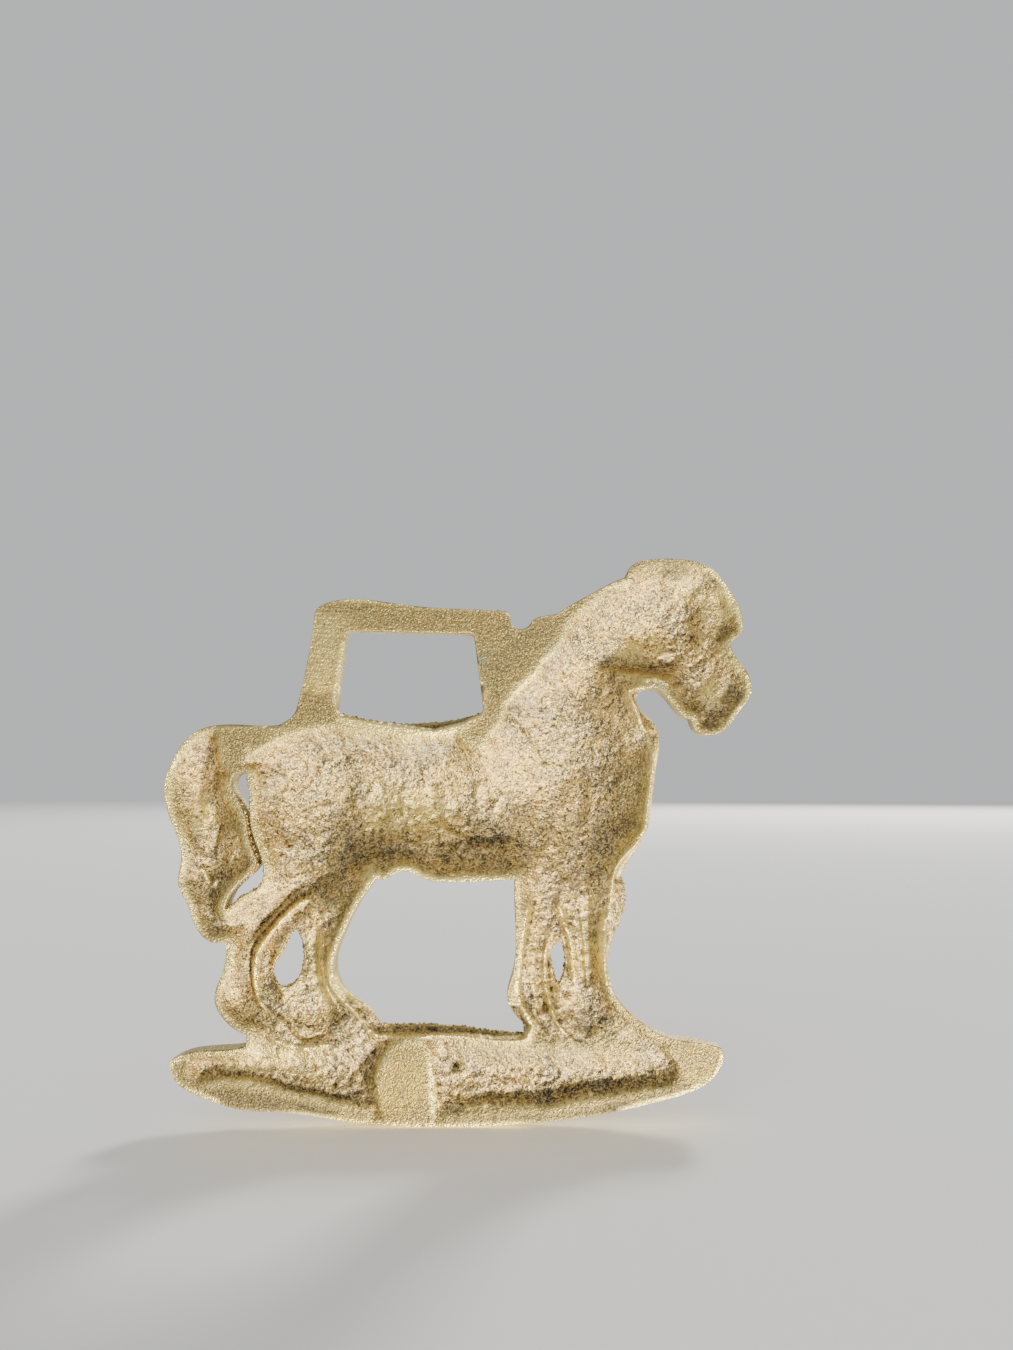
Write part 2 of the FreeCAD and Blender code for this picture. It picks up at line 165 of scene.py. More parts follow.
def to_outline(tree, places):
    """How far each place is from the outline, and the unit direction away from it."""
    flat = places.reshape(-1, 2)
    distance, away = np.zeros(len(flat)), np.zeros(flat.shape)
    for index, (x, z) in enumerate(flat):
        nearest, _, gap = tree.find((x, 0, z))
        distance[index] = gap
        if gap > 1e-6:
            away[index] = ((x - nearest.x) / gap, (z - nearest.z) / gap)
    return distance.reshape(places.shape[:-1]), away.reshape(places.shape)


XS = np.arange(LOW[0] - NET_MARGIN, HIGH[0] + NET_MARGIN, NET_STEP)
ZS = np.arange(LOW[2] - NET_MARGIN, HIGH[2] + NET_MARGIN, NET_STEP)
NODE, CAD_FRONT = probe_net()
KNOTS, OUTLINE = knots()
SOLID = NODE != OUTSIDE
OUTLINE_TREE = outline_tree(OUTLINE)
SAMPLES = np.stack(np.meshgrid(XS, ZS, indexing="ij"), -1)
X = SAMPLES[..., 0]
Z = SAMPLES[..., 1] - PLINTH_BOTTOM
INSET, _ = to_outline(OUTLINE_TREE, SAMPLES)


# --- fields over the net ---

def smooth_step(low, high, value):
    t = np.clip((value - low) / (high - low), 0, 1)
    return t * t * (3 - 2 * t)


def blur_axis(field, radius, axis):
    reach = max(1, int(math.ceil(3 * radius / NET_STEP)))
    offsets = np.arange(-reach, reach + 1)
    weights = np.exp(-0.5 * (offsets * NET_STEP / radius) ** 2)
    weights /= weights.sum()
    padding = [(0, 0), (0, 0)]
    padding[axis] = (reach, reach)
    wide = np.pad(field, padding, mode="edge")
    size = field.shape[axis]
    return sum(w * np.take(wide, range(k, k + size), axis) for k, w in enumerate(weights))


def blur(field, radius):
    """The field, blurred by a bell of that radius in millimetres."""
    return blur_axis(blur_axis(field, radius, 0), radius, 1)


def blur_metal(field, radius):
    """The field blurred over the metal alone, so that nothing outside bleeds in."""
    metal = blur(SOLID.astype(float), radius)
    return np.where(metal > 1e-4, blur(np.where(SOLID, field, 0), radius) / np.maximum(metal, 1e-4), 0)


def grown(field, rounds=14):
    """The field, carried outwards over the edge of the metal."""
    field, known = np.where(SOLID, field, 0.0), SOLID.astype(float)
    for _ in range(rounds):
        total, weight = np.zeros(field.shape), np.zeros(field.shape)
        for di, dj in ((1, 0), (-1, 0), (0, 1), (0, -1), (1, 1), (-1, -1), (1, -1), (-1, 1)):
            total += np.roll(field * known, (di, dj), (0, 1))
            weight += np.roll(known, (di, dj), (0, 1))
        fresh = (known == 0) & (weight > 0)
        field = np.where(fresh, total / np.maximum(weight, 1), field)
        known = np.where(fresh, 1.0, known)
    return field


RANDOM = np.random.default_rng(SEED)
LUMP_SPREAD = 2.2


def lumps(radius, stretch=(1, 1)):
    """A random field with lumps of about that radius, from about -1 to 1."""
    field = RANDOM.standard_normal(SOLID.shape)
    field = blur_axis(blur_axis(field, radius * stretch[0], 0), radius * stretch[1], 1)
    return field / (LUMP_SPREAD * field.std())


def lumpiness(table):
    """Random lumps of every size in a table of rises and sizes, added up."""
    return sum(rise * lumps(size) for rise, size in table)


def from_path(points):
    """The distance of every sample from a path, and how far along the path its nearest point is, 0 to 1."""
    best, along = np.full(X.shape, 1e9), np.zeros(X.shape)
    points = np.array(points, float)
    lengths = np.hypot(*(points[1:] - points[:-1]).T)
    total, start = lengths.sum(), 0.0
    for (ax, az), (bx, bz), length in zip(points[:-1], points[1:], lengths):
        t = np.clip(((X - ax) * (bx - ax) + (Z - az) * (bz - az)) / length ** 2, 0, 1)
        gap = np.hypot(X - ax - t * (bx - ax), Z - az - t * (bz - az))
        nearer = gap < best
        best = np.where(nearer, gap, best)
        along = np.where(nearer, (start + t * length) / total, along)
        start += length
    return best, along


def curved(points, per_run=6):
    """The points joined by a smooth curve that goes through them."""
    p = np.array(points, float)
    if len(p) < 3:
        return p
    p = np.vstack([2 * p[0] - p[1], p, 2 * p[-1] - p[-2]])
    out = []
    for a, b, c, d in zip(p[:-3], p[1:-2], p[2:-1], p[3:]):
        for t in np.arange(per_run) / per_run:
            out.append(0.5 * (2 * b + (c - a) * t + (2 * a - 5 * b + 4 * c - d) * t ** 2
                              + (3 * b - a - 3 * c + d) * t ** 3))
    return np.array(out + [p[-2]])


def stroke(points, width, taper=0.15):
    """A soft line along the points, 1 on the line and fading out at that width and at its ends."""
    gap, along = from_path(curved(points))
    ends = smooth_step(0, taper, along) * smooth_step(0, taper, 1 - along) if taper else 1
    return np.exp(-(gap / width) ** 2) * ends


def spot(x, z, radius):
    """A soft round patch, 1 in its middle."""
    return np.exp(-(((X - x) / radius) ** 2 + ((Z - z) / radius) ** 2))


def patches(table):
    """The rows of a table, added up: an amount, a width, and one point for a spot or more for a line."""
    total = np.zeros(X.shape)
    for amount, width, *points in table:
        total += amount * (spot(*points[0], width) if len(points) == 1 else stroke(points, width))
    return total


# --- the hollow back ---

# The tables are in millimetres: x from the middle of the strap slot, z from the plinth's bottom.
# Where the back is filed flat, besides the rims.
FILED_LANDS = [
    # the loop and its web, down to the step into the trunk, neck and head
    [(-20.2, 55.3), (-18.4, 56.3), (-16.3, 56.9), (-11.9, 57.6), (-7.6, 56.7), (-3.7, 56.5), (-1.5, 56),
     (2.9, 56.4), (7.2, 56.7), (8.5, 55.4), (10.3, 54.5), (11.4, 54.7), (11.9, 56.9), (13, 57), (13.7, 58),
     (14.4, 61), (15.9, 63), (18.1, 64.9), (19.2, 65.8), (20, 67.7), (21.1, 68.6), (23, 70.8), (23.7, 73),
     (25.9, 75.6), (28.5, 77.3), (30, 78.6), (28, 88), (-20.2, 88)],
    # where the tail springs from the rump
    [(-28.6, 60), (-29, 56), (-28.2, 52.6), (-26.8, 50.6), (-25, 52), (-23.6, 53.5), (-21.5, 54.8),
     (-20.2, 55.2), (-20.2, 60)],
    # the runner stub
    [(-3, 10.6), (-4.1, 8.4), (-4.5, 6.7), (-4.4, 5), (-4.2, 3.2), (-2.8, 0.2), (0, -2), (4.2, -2),
     (4.2, 0.8), (3.9, 5.2), (3.7, 9.3), (3.6, 10.6), (2.4, 12.5), (-0.2, 12.6), (-1.9, 11.7)],
    # the lower rim of the plinth, behind and before the stub
    [(-31.6, 8.8), (-30.6, 6.2), (-27.1, 6.9), (-22.8, 6.7), (-20, 6.1), (-16.3, 5), (-13, 4.4),
     (-10.8, 3.8), (-6.7, 3.2), (-5.2, 2.4), (-5, -2), (-40, -2), (-40, 9.6)],
    [(5.2, 1.4), (8.5, 2.1), (13.7, 2.8), (20.3, 2.7), (26, 3.9), (30, 4.4), (34, 5.1), (38.5, 5.8),
     (39.5, 7.2), (39.2, 9.2), (37.4, 11), (41, 14.5), (55, 14.5), (55, -2), (4.4, -2)],
]
# The ragged holes between the legs have no rim: x and z from, x and z to.
RIMLESS = [(-21.6, 17.4, -14.6, 29.0), (20.4, 18.0, 23.9, 27.4)]
# Places that are shallower: the share of the depth that they keep, the width and the points.
SHARES_OF_DEPTH = [
    (0.55, 2, (47.8, 64.6), (46.8, 61.4)), (0.7, 2.2, (-11.4, 29), (-11.4, 20)),
    (0.75, 1.8, (26.6, 33), (26.8, 18)), (0.7, 1.4, (47.6, 79.6), (49.2, 73)),
    (0.45, 3.2, (47, 76.5), (47.8, 70.5)), (0.75, 2, (33, 56.5), (33.6, 47.5)),
    (0.55, 2.6, (-9, 32.6), (-12.6, 30.6)), (0.75, 1.6, (-25.6, 27), (-26, 19)),
    (0.7, 1.5, (16.2, 34), (16, 19)), (0.75, 1.4, (29, 34), (29.4, 20)), (0.3, 2.4, (35, 81.4), (41, 81)),
    (0.65, 1.8, (-22, 10.6), (-8, 10.4)), (0.35, 2.2, (8, 11.6), (22, 10.8), (36, 10.4)),
    (0.45, 2.4, (-26, 47.6), (-25.6, 43)), (0.6, 1.8, (-34.4, 50), (-34.4, 40)),
]
PLATE = 2.3
SHALLOWEST = 0.9
RIM = 0.95
TRUNK_SLOPE, LIMB_SLOPE, PLINTH_SLOPE = 1.6, 1.7, 2.0

# Lines and spots of the relief: how far they stand out (less than 0 cuts in), width and points.
BACK_LINES = [
    # where the web steps down into the neck and head
    (0.25, 0.45, (13.2, 57.4), (14.4, 61), (15.9, 63), (18.1, 64.9), (20, 67.7), (21.1, 68.6), (23, 70.8),
     (25.9, 75.6), (28.5, 77.3)), (-0.45, 0.3, (44.3, 82.1), (46.6, 80.2), (48.6, 77.6), (49.4, 75.6)),
    # folds in the cheek and jaw
    (-0.7, 1.1, (28, 69), (31.2, 68), (35, 67.3), (38.6, 67.6), (42, 69)),
    (0.7, 0.9, (30.6, 66), (33.6, 65.6), (37.2, 65.2), (39.6, 64)), (-0.5, 0.8, (41.1, 64.9)),
    (0.55, 1.2, (43.4, 79.5), (44.6, 74), (44.2, 69)),
    (-0.45, 1, (46.6, 78.4), (47.6, 74.4), (47.4, 70.4)),
    (-0.35, 0.9, (46.8, 61.6), (48.4, 63.6), (47.6, 65.6)),
    # neck and shoulder
    (-0.4, 0.8, (24, 65), (26.5, 60.5), (29, 56)), (0.35, 1, (20.5, 63.5), (22.5, 59.5), (25.2, 55.5)),
    (-0.35, 0.7, (16.5, 58.6), (19, 56), (21, 52)), (0.3, 0.9, (27, 50), (27.6, 46), (26.4, 42)),
    (-0.45, 0.6, (34.5, 42.7)),
    # back, barrel and belly
    (-0.4, 0.8, (-16, 52.5), (-10, 53.6), (-2, 52.4), (5, 53.2)),
    (-0.35, 1.1, (-14, 34.5), (-11.6, 35.8), (-9, 37), (-4, 39), (2, 38.6)),
    (-0.22, 1, (-12, 37.5), (-7, 40.5), (-1, 41.5)), (0.4, 0.8, (4, 43), (6.5, 41.5), (8.5, 39.6)),
    (-0.35, 1, (8, 42.2), (11.5, 40.8), (15.5, 41.4), (18, 39.6)), (-0.45, 1.1, (19, 40)),
    (0.45, 0.8, (-9, 49), (-7.6, 45), (-6.4, 42)), (0.4, 0.8, (-1.4, 49), (-1, 45.4), (0, 42.6)),
    (-0.35, 0.7, (3.4, 50), (3.6, 46.6), (4.6, 43.6)), (0.4, 0.9, (10.6, 50), (10.2, 47), (10.8, 44)),
    (-0.35, 0.7, (-4.6, 50), (-4.4, 46.4), (-3.4, 43.6)), (-0.3, 0.6, (7.2, 46.8), (6.8, 44)),
    (0.4, 0.55, (20.6, 43.8), (21.4, 41.2), (20.8, 38.8)),
    # rump
    (-0.45, 0.6, (-19.2, 50), (-20.2, 46.5), (-19.4, 42.6), (-17.6, 39.4)),
    # tail
    (-0.45, 0.6, (-31.6, 50), (-32.4, 46), (-32.2, 42), (-31, 38.6)),
    (0.4, 0.7, (-28, 48), (-26, 45.5), (-24.4, 43)),
    (0.55, 0.4, (-31.2, 37.2), (-30.4, 35.6), (-29.5, 34.2), (-28.2, 35.4)),
    (-0.45, 0.5, (-28.4, 43.6), (-29.4, 40.6), (-29.6, 37.4)),
    (-0.4, 0.35, (-24.6, 54.6), (-23.9, 53.4), (-23.5, 52.1)),
    # near hind leg: its channel, the ridge beside it and the cut at the ridge's foot
    (-0.6, 0.6, (-15, 35.2), (-18.5, 32), (-21.5, 29), (-23.9, 26), (-24.6, 22.5), (-24.2, 19),
     (-23.2, 16)),
    (0.95, 0.55, (-13.8, 33.2), (-17, 31), (-20, 27.8), (-22.2, 24.6), (-22.6, 20.5), (-21.8, 17.4),
     (-19.6, 15.6)),
    (-0.5, 0.2, (-14.2, 33.8), (-18, 31), (-21, 28), (-23.2, 25), (-23.4, 21), (-22.7, 17.6)),
    (-0.35, 0.17, (-19, 28.8), (-21.2, 25.4), (-21.9, 21.5), (-21.3, 18)),
    (-0.6, 0.24, (-21.3, 18), (-20.5, 16.6), (-18, 15), (-16.5, 13), (-14.8, 12), (-12, 12.8)),
    (-0.7, 1, (-20.4, 26), (-20.6, 21), (-18.6, 16.8), (-14.6, 14)),
    # far hind leg
    (-0.6, 0.7, (-13.6, 28.5), (-13.8, 24), (-13.3, 20), (-12, 16.8), (-10, 14.2)),
    (-0.4, 0.2, (-12.2, 28), (-12.2, 24), (-11.9, 20.5), (-10.6, 17.6), (-8.6, 14.8)),
    (0.4, 0.45, (-22.4, 14.6), (-20.4, 12.8), (-17.6, 11.4), (-14.6, 10.8), (-10.8, 11.6)),
    # rear fore leg: two long ridges and the cuts beside them
    (-0.5, 0.19, (19.2, 33.5), (17.9, 28), (17.1, 23), (16.9, 19.4), (18, 16.6), (20.2, 13.6),
     (21.4, 11.8)),
    (0.45, 0.32, (18.3, 33.5), (17.2, 28), (16.5, 23), (16.2, 19.2), (17.3, 16.2), (19.4, 13.4)),
    (0.4, 0.4, (19.6, 31), (18.8, 25), (18.5, 20), (19.4, 16.6), (21, 14)),
    (0.6, 0.38, (21.2, 27.5), (20.4, 24), (20.3, 20), (20.9, 17.2), (22, 14.6), (23.8, 12.6)),
    (-0.45, 0.18, (20.9, 26.6), (20.8, 21), (21.4, 17.4), (22.6, 14.4), (24.6, 12.4), (27, 11.6)),
    # front fore leg
    (0.75, 0.6, (22.2, 33), (22.8, 29.5), (24, 26.6), (24.4, 22.5), (24.7, 18.6)),
    (-0.55, 0.2, (25, 31), (25.7, 26.5), (25.9, 22), (26.4, 18.4)),
    (-0.5, 0.6, (26.3, 36), (26.8, 30), (26.9, 24), (27.3, 18.8)),
    (-0.5, 1.1, (23, 17), (25.4, 14.6), (27.4, 12.8)),
    # plinth
    (-0.45, 0.55, (-29.7, 6.3), (-27.1, 7.1), (-22.8, 6.9), (-20, 6.3), (-16.3, 5.2), (-13, 4.7),
     (-10.8, 4.1), (-6.7, 3.7)), (-0.35, 0.6, (-8.6, 6.4), (-6.8, 8.4), (-6.2, 10.2)),
    (-0.8, 0.55, (7, 8.3)), (0.3, 0.5, (5.6, 7.2), (7.4, 6.9), (8.8, 8), (8, 9.5)),
    (-0.45, 0.7, (8.5, 4), (13.7, 4.4), (20.3, 4.4), (26, 5.4), (30, 5.9), (34, 6.5)),
    (-0.35, 0.28, (45.2, 10.7), (44.5, 8), (42, 5.7)),
    (-0.3, 0.18, (4, 11.2), (4, 9.3), (4.15, 5.2), (4.5, 0.8)),
]

# Ledges of the relief that stand out past the filed rim: depth, and the shape past the filed edge.
BACK_LEDGES = [
    (2, (-10.6, 60), (-10, 59.5), (-5, 58.6), (0, 57.9), (3.7, 57.4), (8, 58.5), (10.7, 59.9), (11, 64),
     (-11, 64)),
    (2.4, (33.2, 63.2), (34.4, 60.6), (35, 58.8), (36.1, 56.4), (37, 54), (36.8, 51), (36.5, 49.3),
     (36.2, 47), (35.6, 42.8), (34.2, 40.2), (31.8, 37.8), (30.9, 36.5), (30.3, 33.4), (29.6, 31.5),
     (29.2, 29), (29.4, 25), (29.3, 23), (29.7, 20.2), (33, 20), (46, 36), (46, 54), (39.6, 60.4),
     (36.6, 63)),
    (1.7, (-11, 20.4), (-8, 16.3), (-6.7, 15), (-5.6, 13.9), (-4.1, 12.8), (0, 12.9), (5, 13.1),
     (10, 12.9), (13, 12.5), (17, 12.5), (18, 14), (16, 17), (0, 16), (-5, 19), (-10, 22)),
    (1.4, (-29, 58), (-24, 58.1), (-19.4, 57.9), (-18, 61), (-29, 61)),
]
LEDGE_BLUR = 0.13

# Blobs of metal left by the mould: rise, width and place.
BACK_BLOBS = [
    (0.8, 0.7, (-10.3, 60.2)), (0.9, 0.6, (-6.2, 17.6)), (0.7, 0.6, (10.9, 13.3)), (0.7, 0.6, (17, 13.2)),
    (0.5, 0.9, (-17.4, 40.4)), (0.4, 1.2, (13, 46)), (0.4, 1, (30.6, 60.4)), (0.3, 0.8, (-25.4, 50.2)),
    (0.5, 0.7, (-30.6, 45.8)), (0.35, 1, (40.4, 74.8)), (0.4, 0.9, (26.4, 72.6)), (0.35, 1, (-8.4, 46.4)),
]

# Where the hollows are smooth: amount, width and points.
SMOOTHED = [
    (1, 3, (-12.5, 31.4), (-9, 32.6)), (1, 2.2, (33.6, 56), (34.4, 48), (32.4, 41)),
    (0.9, 1, (-26, 28), (-26.2, 20)), (1, 2, (46.6, 79), (47.4, 74), (46, 69)), (1, 1, (41, 64.8)),
    (1, 1.8, (-26.6, 46), (-27, 42)), (1, 2.4, (-31, 32.6)), (0.8, 1.6, (-34.6, 50), (-34, 40)),
    (0.9, 1.3, (31.4, 66), (36, 65), (39.6, 63.4)), (0.8, 2, (36, 82), (42, 81)),
    (0.9, 1.4, (47.6, 66), (47.8, 61)), (0.8, 1.6, (44.6, 60.6), (42.4, 62)),
    (0.7, 1.8, (6, 11), (20, 10.6), (36, 10)), (0.6, 0.8, (28.4, 36), (28.4, 20)),
]
# How rough the metal is: the rise and the size of its lumps.
RIM_LUMPS = ((0.18, 1.6),)
HOLLOW_LUMPS = ((0.12, 3.4), (0.20, 1.7), (0.14, 0.85), (0.09, 0.42))
SAND_GRAIN = ((0.17, 0.3), (0.14, 0.19))
LAND_LUMPS = ((0.040, 1.4), (0.030, 0.4), (0.028, 0.2))
LEDGE_LUMPS = ((0.25, 0.7), (0.16, 0.3))
FRONT_LUMPS = ((0.09, 2.4), (0.05, 0.8), (0.025, 0.3), (0.015, 0.18))


def inside_shape(corners):
    """Which samples lie inside a shape."""
    inside = np.zeros(X.shape, bool)
    for (ax, az), (bx, bz) in zip(corners, corners[1:] + corners[:1]):
        if az != bz:
            crosses = ((az > Z) != (bz > Z)) & (X < ax + (Z - az) * (bx - ax) / (bz - az))
            inside ^= crosses
    return inside


def filed_land():
    """Which samples were filed flat."""
    land = np.zeros(X.shape, bool)
    for corners in FILED_LANDS:
        land |= inside_shape(corners)
    return land


def room_round():
    """The distance of every sample from the nearest rim: the outline or a filed land."""
    points = []
    for x, z in OUTLINE:
        drawn = z - PLINTH_BOTTOM
        if not any(a < x < c and b < drawn < d for a, b, c, d in RIMLESS):
            points.append((x, z))
    edge = LAND & (blur(LAND.astype(float), NET_STEP) < 0.99) & SOLID
    points.extend((x, z) for x, z in SAMPLES[edge])
    distance, _ = to_outline(outline_tree(points), SAMPLES)
    return np.where(LAND, 0, distance)


def hollow_depth():
    """The smooth depth of the hollows: the relief of the front, a plate's thickness behind it."""
    full = np.maximum(blur_metal(CAD_FRONT, 1.3) - PLATE, SHALLOWEST)
    for factor, width, *points in SHARES_OF_DEPTH:
        full = full * (1 + (factor - 1) * stroke(points, width, 0))
    plinth = smooth_step(13.5, 11.0, Z)
    limbs = np.clip(smooth_step(38, 33, Z) + smooth_step(-22, -24, X), 0, 1) * (1 - plinth)
    slope = TRUNK_SLOPE + (LIMB_SLOPE - TRUNK_SLOPE) * limbs
    slope = slope + (PLINTH_SLOPE - slope) * plinth
    rim = RIM + lumpiness(RIM_LUMPS)
    # Where the nearest rim is a filed land, the hollow starts right at it.
    rim = np.where(INSET > ROOM + 0.3, 0.1, rim)
    run = np.maximum(ROOM - rim, 0)
    return full * (1 - np.exp(-slope * run / full))


def hollow_back():
    """The height of the back, with the hollows' walls worn to slopes and the metal rough as cast."""
    field = blur_metal(hollow_depth(), 0.42)
    inside = smooth_step(0.10, 0.9, field)
    field = field - patches(BACK_LINES) * (0.25 + 0.75 * inside) - patches(BACK_BLOBS)
    field = field + inside * lumpiness(HOLLOW_LUMPS)
    coarse = inside * ROUGH * (1 - 0.75 * np.clip(patches(SMOOTHED), 0, 1))
    field = field + coarse * lumpiness(SAND_GRAIN)
    field = field + (1 - inside) * lumpiness(LAND_LUMPS)
    for depth, *corners in BACK_LEDGES:
        ledge = blur(inside_shape(corners).astype(float), LEDGE_BLUR)
        drop = depth + 0.8 * (0.5 - INSET) + lumpiness(LEDGE_LUMPS)
        field = field + ledge * np.maximum(drop - field, 0)
    return field


def file_marks():
    """Fine straight scratches across the rear post of the loop, and fainter ones on the rest of it."""
    post = smooth_step(60, 63, Z) * smooth_step(0.6, -0.4, X + 8.9) * smooth_step(76, 75, Z)
    coarse = np.sin(2 * math.pi * (Z + 0.04 * X) / 0.65 + 1.4 * lumps(2.2)) * smooth_step(62, 66.5, Z)
    fine = lumps(0.16, (9, 1))
    return post * (0.075 * coarse + 0.015 * fine) + 0.010 * LAND * lumps(0.18, (7, 1))


LAND = filed_land()
ROOM = room_round()
ROUGH = 0.45 + 0.55 * smooth_step(-0.5, 0.6, lumps(2.6))
MARKS = file_marks()
BACK = np.clip(grown(hollow_back() + MARKS), 0, None)


# --- the relief on the front ---

FRONT_RIDGES = [
    # head: cheek, eye, mouth, nostril, ear and forelock
    (0.55, 2.2, (34.5, 70.5)), (-0.35, 0.5, (31.2, 72.6), (31.4, 69.2), (33.4, 66.4), (36.4, 65.6)),
    (0.45, 0.75, (39.6, 75)), (-0.35, 0.35, (38.2, 75.2), (39.6, 76), (41, 75.2)),
    (-0.3, 0.3, (38.4, 74.4), (39.6, 73.9), (40.8, 74.6)),
    (-0.4, 0.32, (41.4, 63.6), (43.6, 64.4), (45.4, 64.2)), (-0.45, 0.45, (46.2, 67)),
    (0.35, 0.6, (45, 67.8), (46.6, 68.2), (47.4, 66.8)), (0.4, 0.5, (41, 71), (43.4, 69.4)),
    (0.5, 0.7, (34, 80.6), (35.4, 78.4), (36.4, 76.4)), (-0.3, 0.35, (35.4, 80.4), (36.4, 78.2)),
    # throat, shoulder, breast and stifle
    (-0.45, 0.7, (29, 68), (30, 65), (33, 62.6)),
    (0.45, 1.1, (16.5, 55.5), (19.5, 51), (23.5, 46.5), (28, 44)),
    (-0.35, 0.8, (13.8, 54), (15.8, 48.8), (18.8, 43.6), (21.6, 40.6)),
    (-0.3, 0.7, (29, 52), (30.4, 46), (29.6, 40)), (-0.3, 0.8, (-9.5, 52), (-11.2, 46.5), (-10.4, 40.5)),
    (0.3, 1.2, (-14, 50.5), (-17.6, 44.5), (-18, 38.5)),
    (-0.35, 0.6, (-10, 38.6), (-12.6, 35.6), (-15, 31.5)), (-0.16, 0.5, (4.5, 51.5), (4, 46.5), (2.2, 42)),
    (-0.16, 0.5, (1, 51.5), (0.4, 46.5), (-1.4, 42)),
    (-0.16, 0.5, (-2.5, 51.5), (-3.2, 46.5), (-4.8, 42.6)), (-0.16, 0.5, (8, 51), (7.6, 46.5), (6, 42)),
    # legs: the cannons, knees, hocks, fetlocks and hooves
    (0.35, 0.55, (-24.6, 27.5), (-24.4, 22.5), (-23.4, 18.6)), (0.35, 0.9, (-23.6, 29.4)),
    (0.3, 0.55, (-13.4, 27.5), (-12.6, 22), (-11.4, 18)), (0.3, 0.8, (-13.6, 29)),
    (0.3, 0.55, (19.2, 33), (19, 27.5), (18.8, 20)), (0.35, 0.9, (19.2, 26.4)),
    (0.3, 0.55, (27.2, 33), (27.2, 27), (27.4, 20)), (0.35, 0.9, (27.4, 26.6)),
    (-0.35, 0.35, (-24.8, 16.6), (-22, 15.6), (-19.4, 16.4)), (-0.35, 0.35, (-14.4, 15.8), (-11, 15.8)),
    (-0.35, 0.35, (17, 16), (20.6, 15.6)), (-0.35, 0.35, (25.6, 16), (29.4, 15.8)),
    # the line of the turf
    (-0.35, 0.45, (-30, 10.8), (-26.5, 11.4), (-10, 12), (0, 12), (16, 11.8), (31, 11.6), (41, 10.8)),
]
MANE_CREST = [(14.6, 59.6), (17.4, 64.4), (21.4, 69.4), (26.2, 74.8), (31.6, 78.4)]
MANE_LINES = 19
TAIL_LINES = [(-0.30, 0.32, (-24.6 - 1.5 * k, 56.6 + 0.2 * k), (-28.6 - 1.4 * k, 54.0 - 0.6 * k),
               (-30.8 - 0.9 * k, 48.0 - k), (-29.6 - 0.4 * k, 41.0 - k), (-28.4 + 0.2 * k, 35.6 - k))
              for k in range(4)]


def mane():
    """Hair that falls from the crest of the neck, in lines of uneven length."""
    crest = curved(MANE_CREST, 12)
    lines = []
    for k in range(MANE_LINES):
        x, z = crest[round(k * (len(crest) - 1) / (MANE_LINES - 1))]
        fall = 7.2 + 1.5 * math.sin(2.3 * k) + 0.8 * math.sin(0.9 * k)
        rise, width = ((-0.34, 0.32), (0.26, 0.42))[k % 2]
        lines.append((rise, width, (x + 0.2, z), (x + 1.9, z - 0.30 * fall), (x + 2.0, z - 0.66 * fall),
                      (x + 3.3, z - fall)))
    return lines


def relief_front():
    """The height of the front: the swellings of the CAD model with the modeller's lines cut in."""
    field = blur_metal(CAD_FRONT, 0.35) + patches(FRONT_RIDGES + mane() + TAIL_LINES)
    return field - 0.35 * np.exp(-(INSET / 0.5) ** 2) + lumpiness(FRONT_LUMPS)


FRONT = np.minimum(grown(relief_front()), HIGH[1])
BACK = np.clip(np.minimum(BACK, FRONT - LEAST_METAL), 0, None)


# --- what the finish reads ---

def convex(back, radius):
    """How far a back surface stands proud of what is round it: less than 0 on a front that stands proud."""
    return blur(back, radius) - back


# Where the metal darkened, partly as painted shade, silvered or yellowed, and where it is worn and carries
# painted highlights and painted light: amount, width and points.
# Darkening that is partly patina and partly painted shade, such as the dark band along the belly and dark
# lines in the plinth's grooves.
DARKENED_AND_SHADED = [
    (0.72, 2.1, (-13, 35.8), (-8, 38.6), (-2, 39.6), (5, 39.8), (12, 40.2), (19.4, 40.2)),
    (0.25, 1.2, (8, 43), (13, 42.4), (17, 42.4)), (0.25, 2.6, (-30.4, 33)),
    (0.3, 2.2, (-26, 44), (-27, 40)), (0.2, 3.2, (33.6, 56), (34.2, 48), (32.6, 42)),
    (0.5, 1.4, (28, 67.4), (33, 66.4), (39, 66.2)), (0.45, 1.6, (31, 66.4), (31.6, 62), (33, 58)),
    (0.55, 0.7, (-5.4, 4.6), (-5.8, 8), (-5.2, 11)), (0.12, 6, (26, 74), (34, 80)),
    (0.7, 1.7, (8, 1.4), (20, 1.2), (34, 3.2), (42, 7)), (0.9, 2, (-30, 6), (-20, 3.4), (-8, 1.6)),
    (0.3, 3, (18, 68), (13, 66), (12.6, 59)), (0.25, 2.4, (-26, 56), (-21, 57)), (0.2, 2, (0, 6)),
    (0.35, 1, (41.1, 64.9)), (0.5, 2.2, (38, 82), (43, 81)),
    (0.7, 0.5, (-29.7, 6.3), (-27.1, 7), (-22.8, 6.8), (-20, 6.2), (-16.3, 5.2), (-13, 4.6), (-6.7, 3.6)),
    (0.55, 0.9, (8.5, 2.8), (13.7, 3.5), (20.3, 3.6), (26, 4.7), (30, 5.3), (34, 5.9), (38.5, 6.6)),
    (0.6, 0.6, (7, 8.3)), (0.35, 0.7, (27.6, 38), (27.8, 30), (27.8, 22)),
    (0.45, 0.35, (46, 79), (49, 75.6)), (0.5, 1.1, (-15.2, 34.6), (-12, 33.4)),
    (0.3, 2, (15, 70), (20, 74)), (0.5, 0.3, (-4.6, 3), (-4.4, 9)),
]
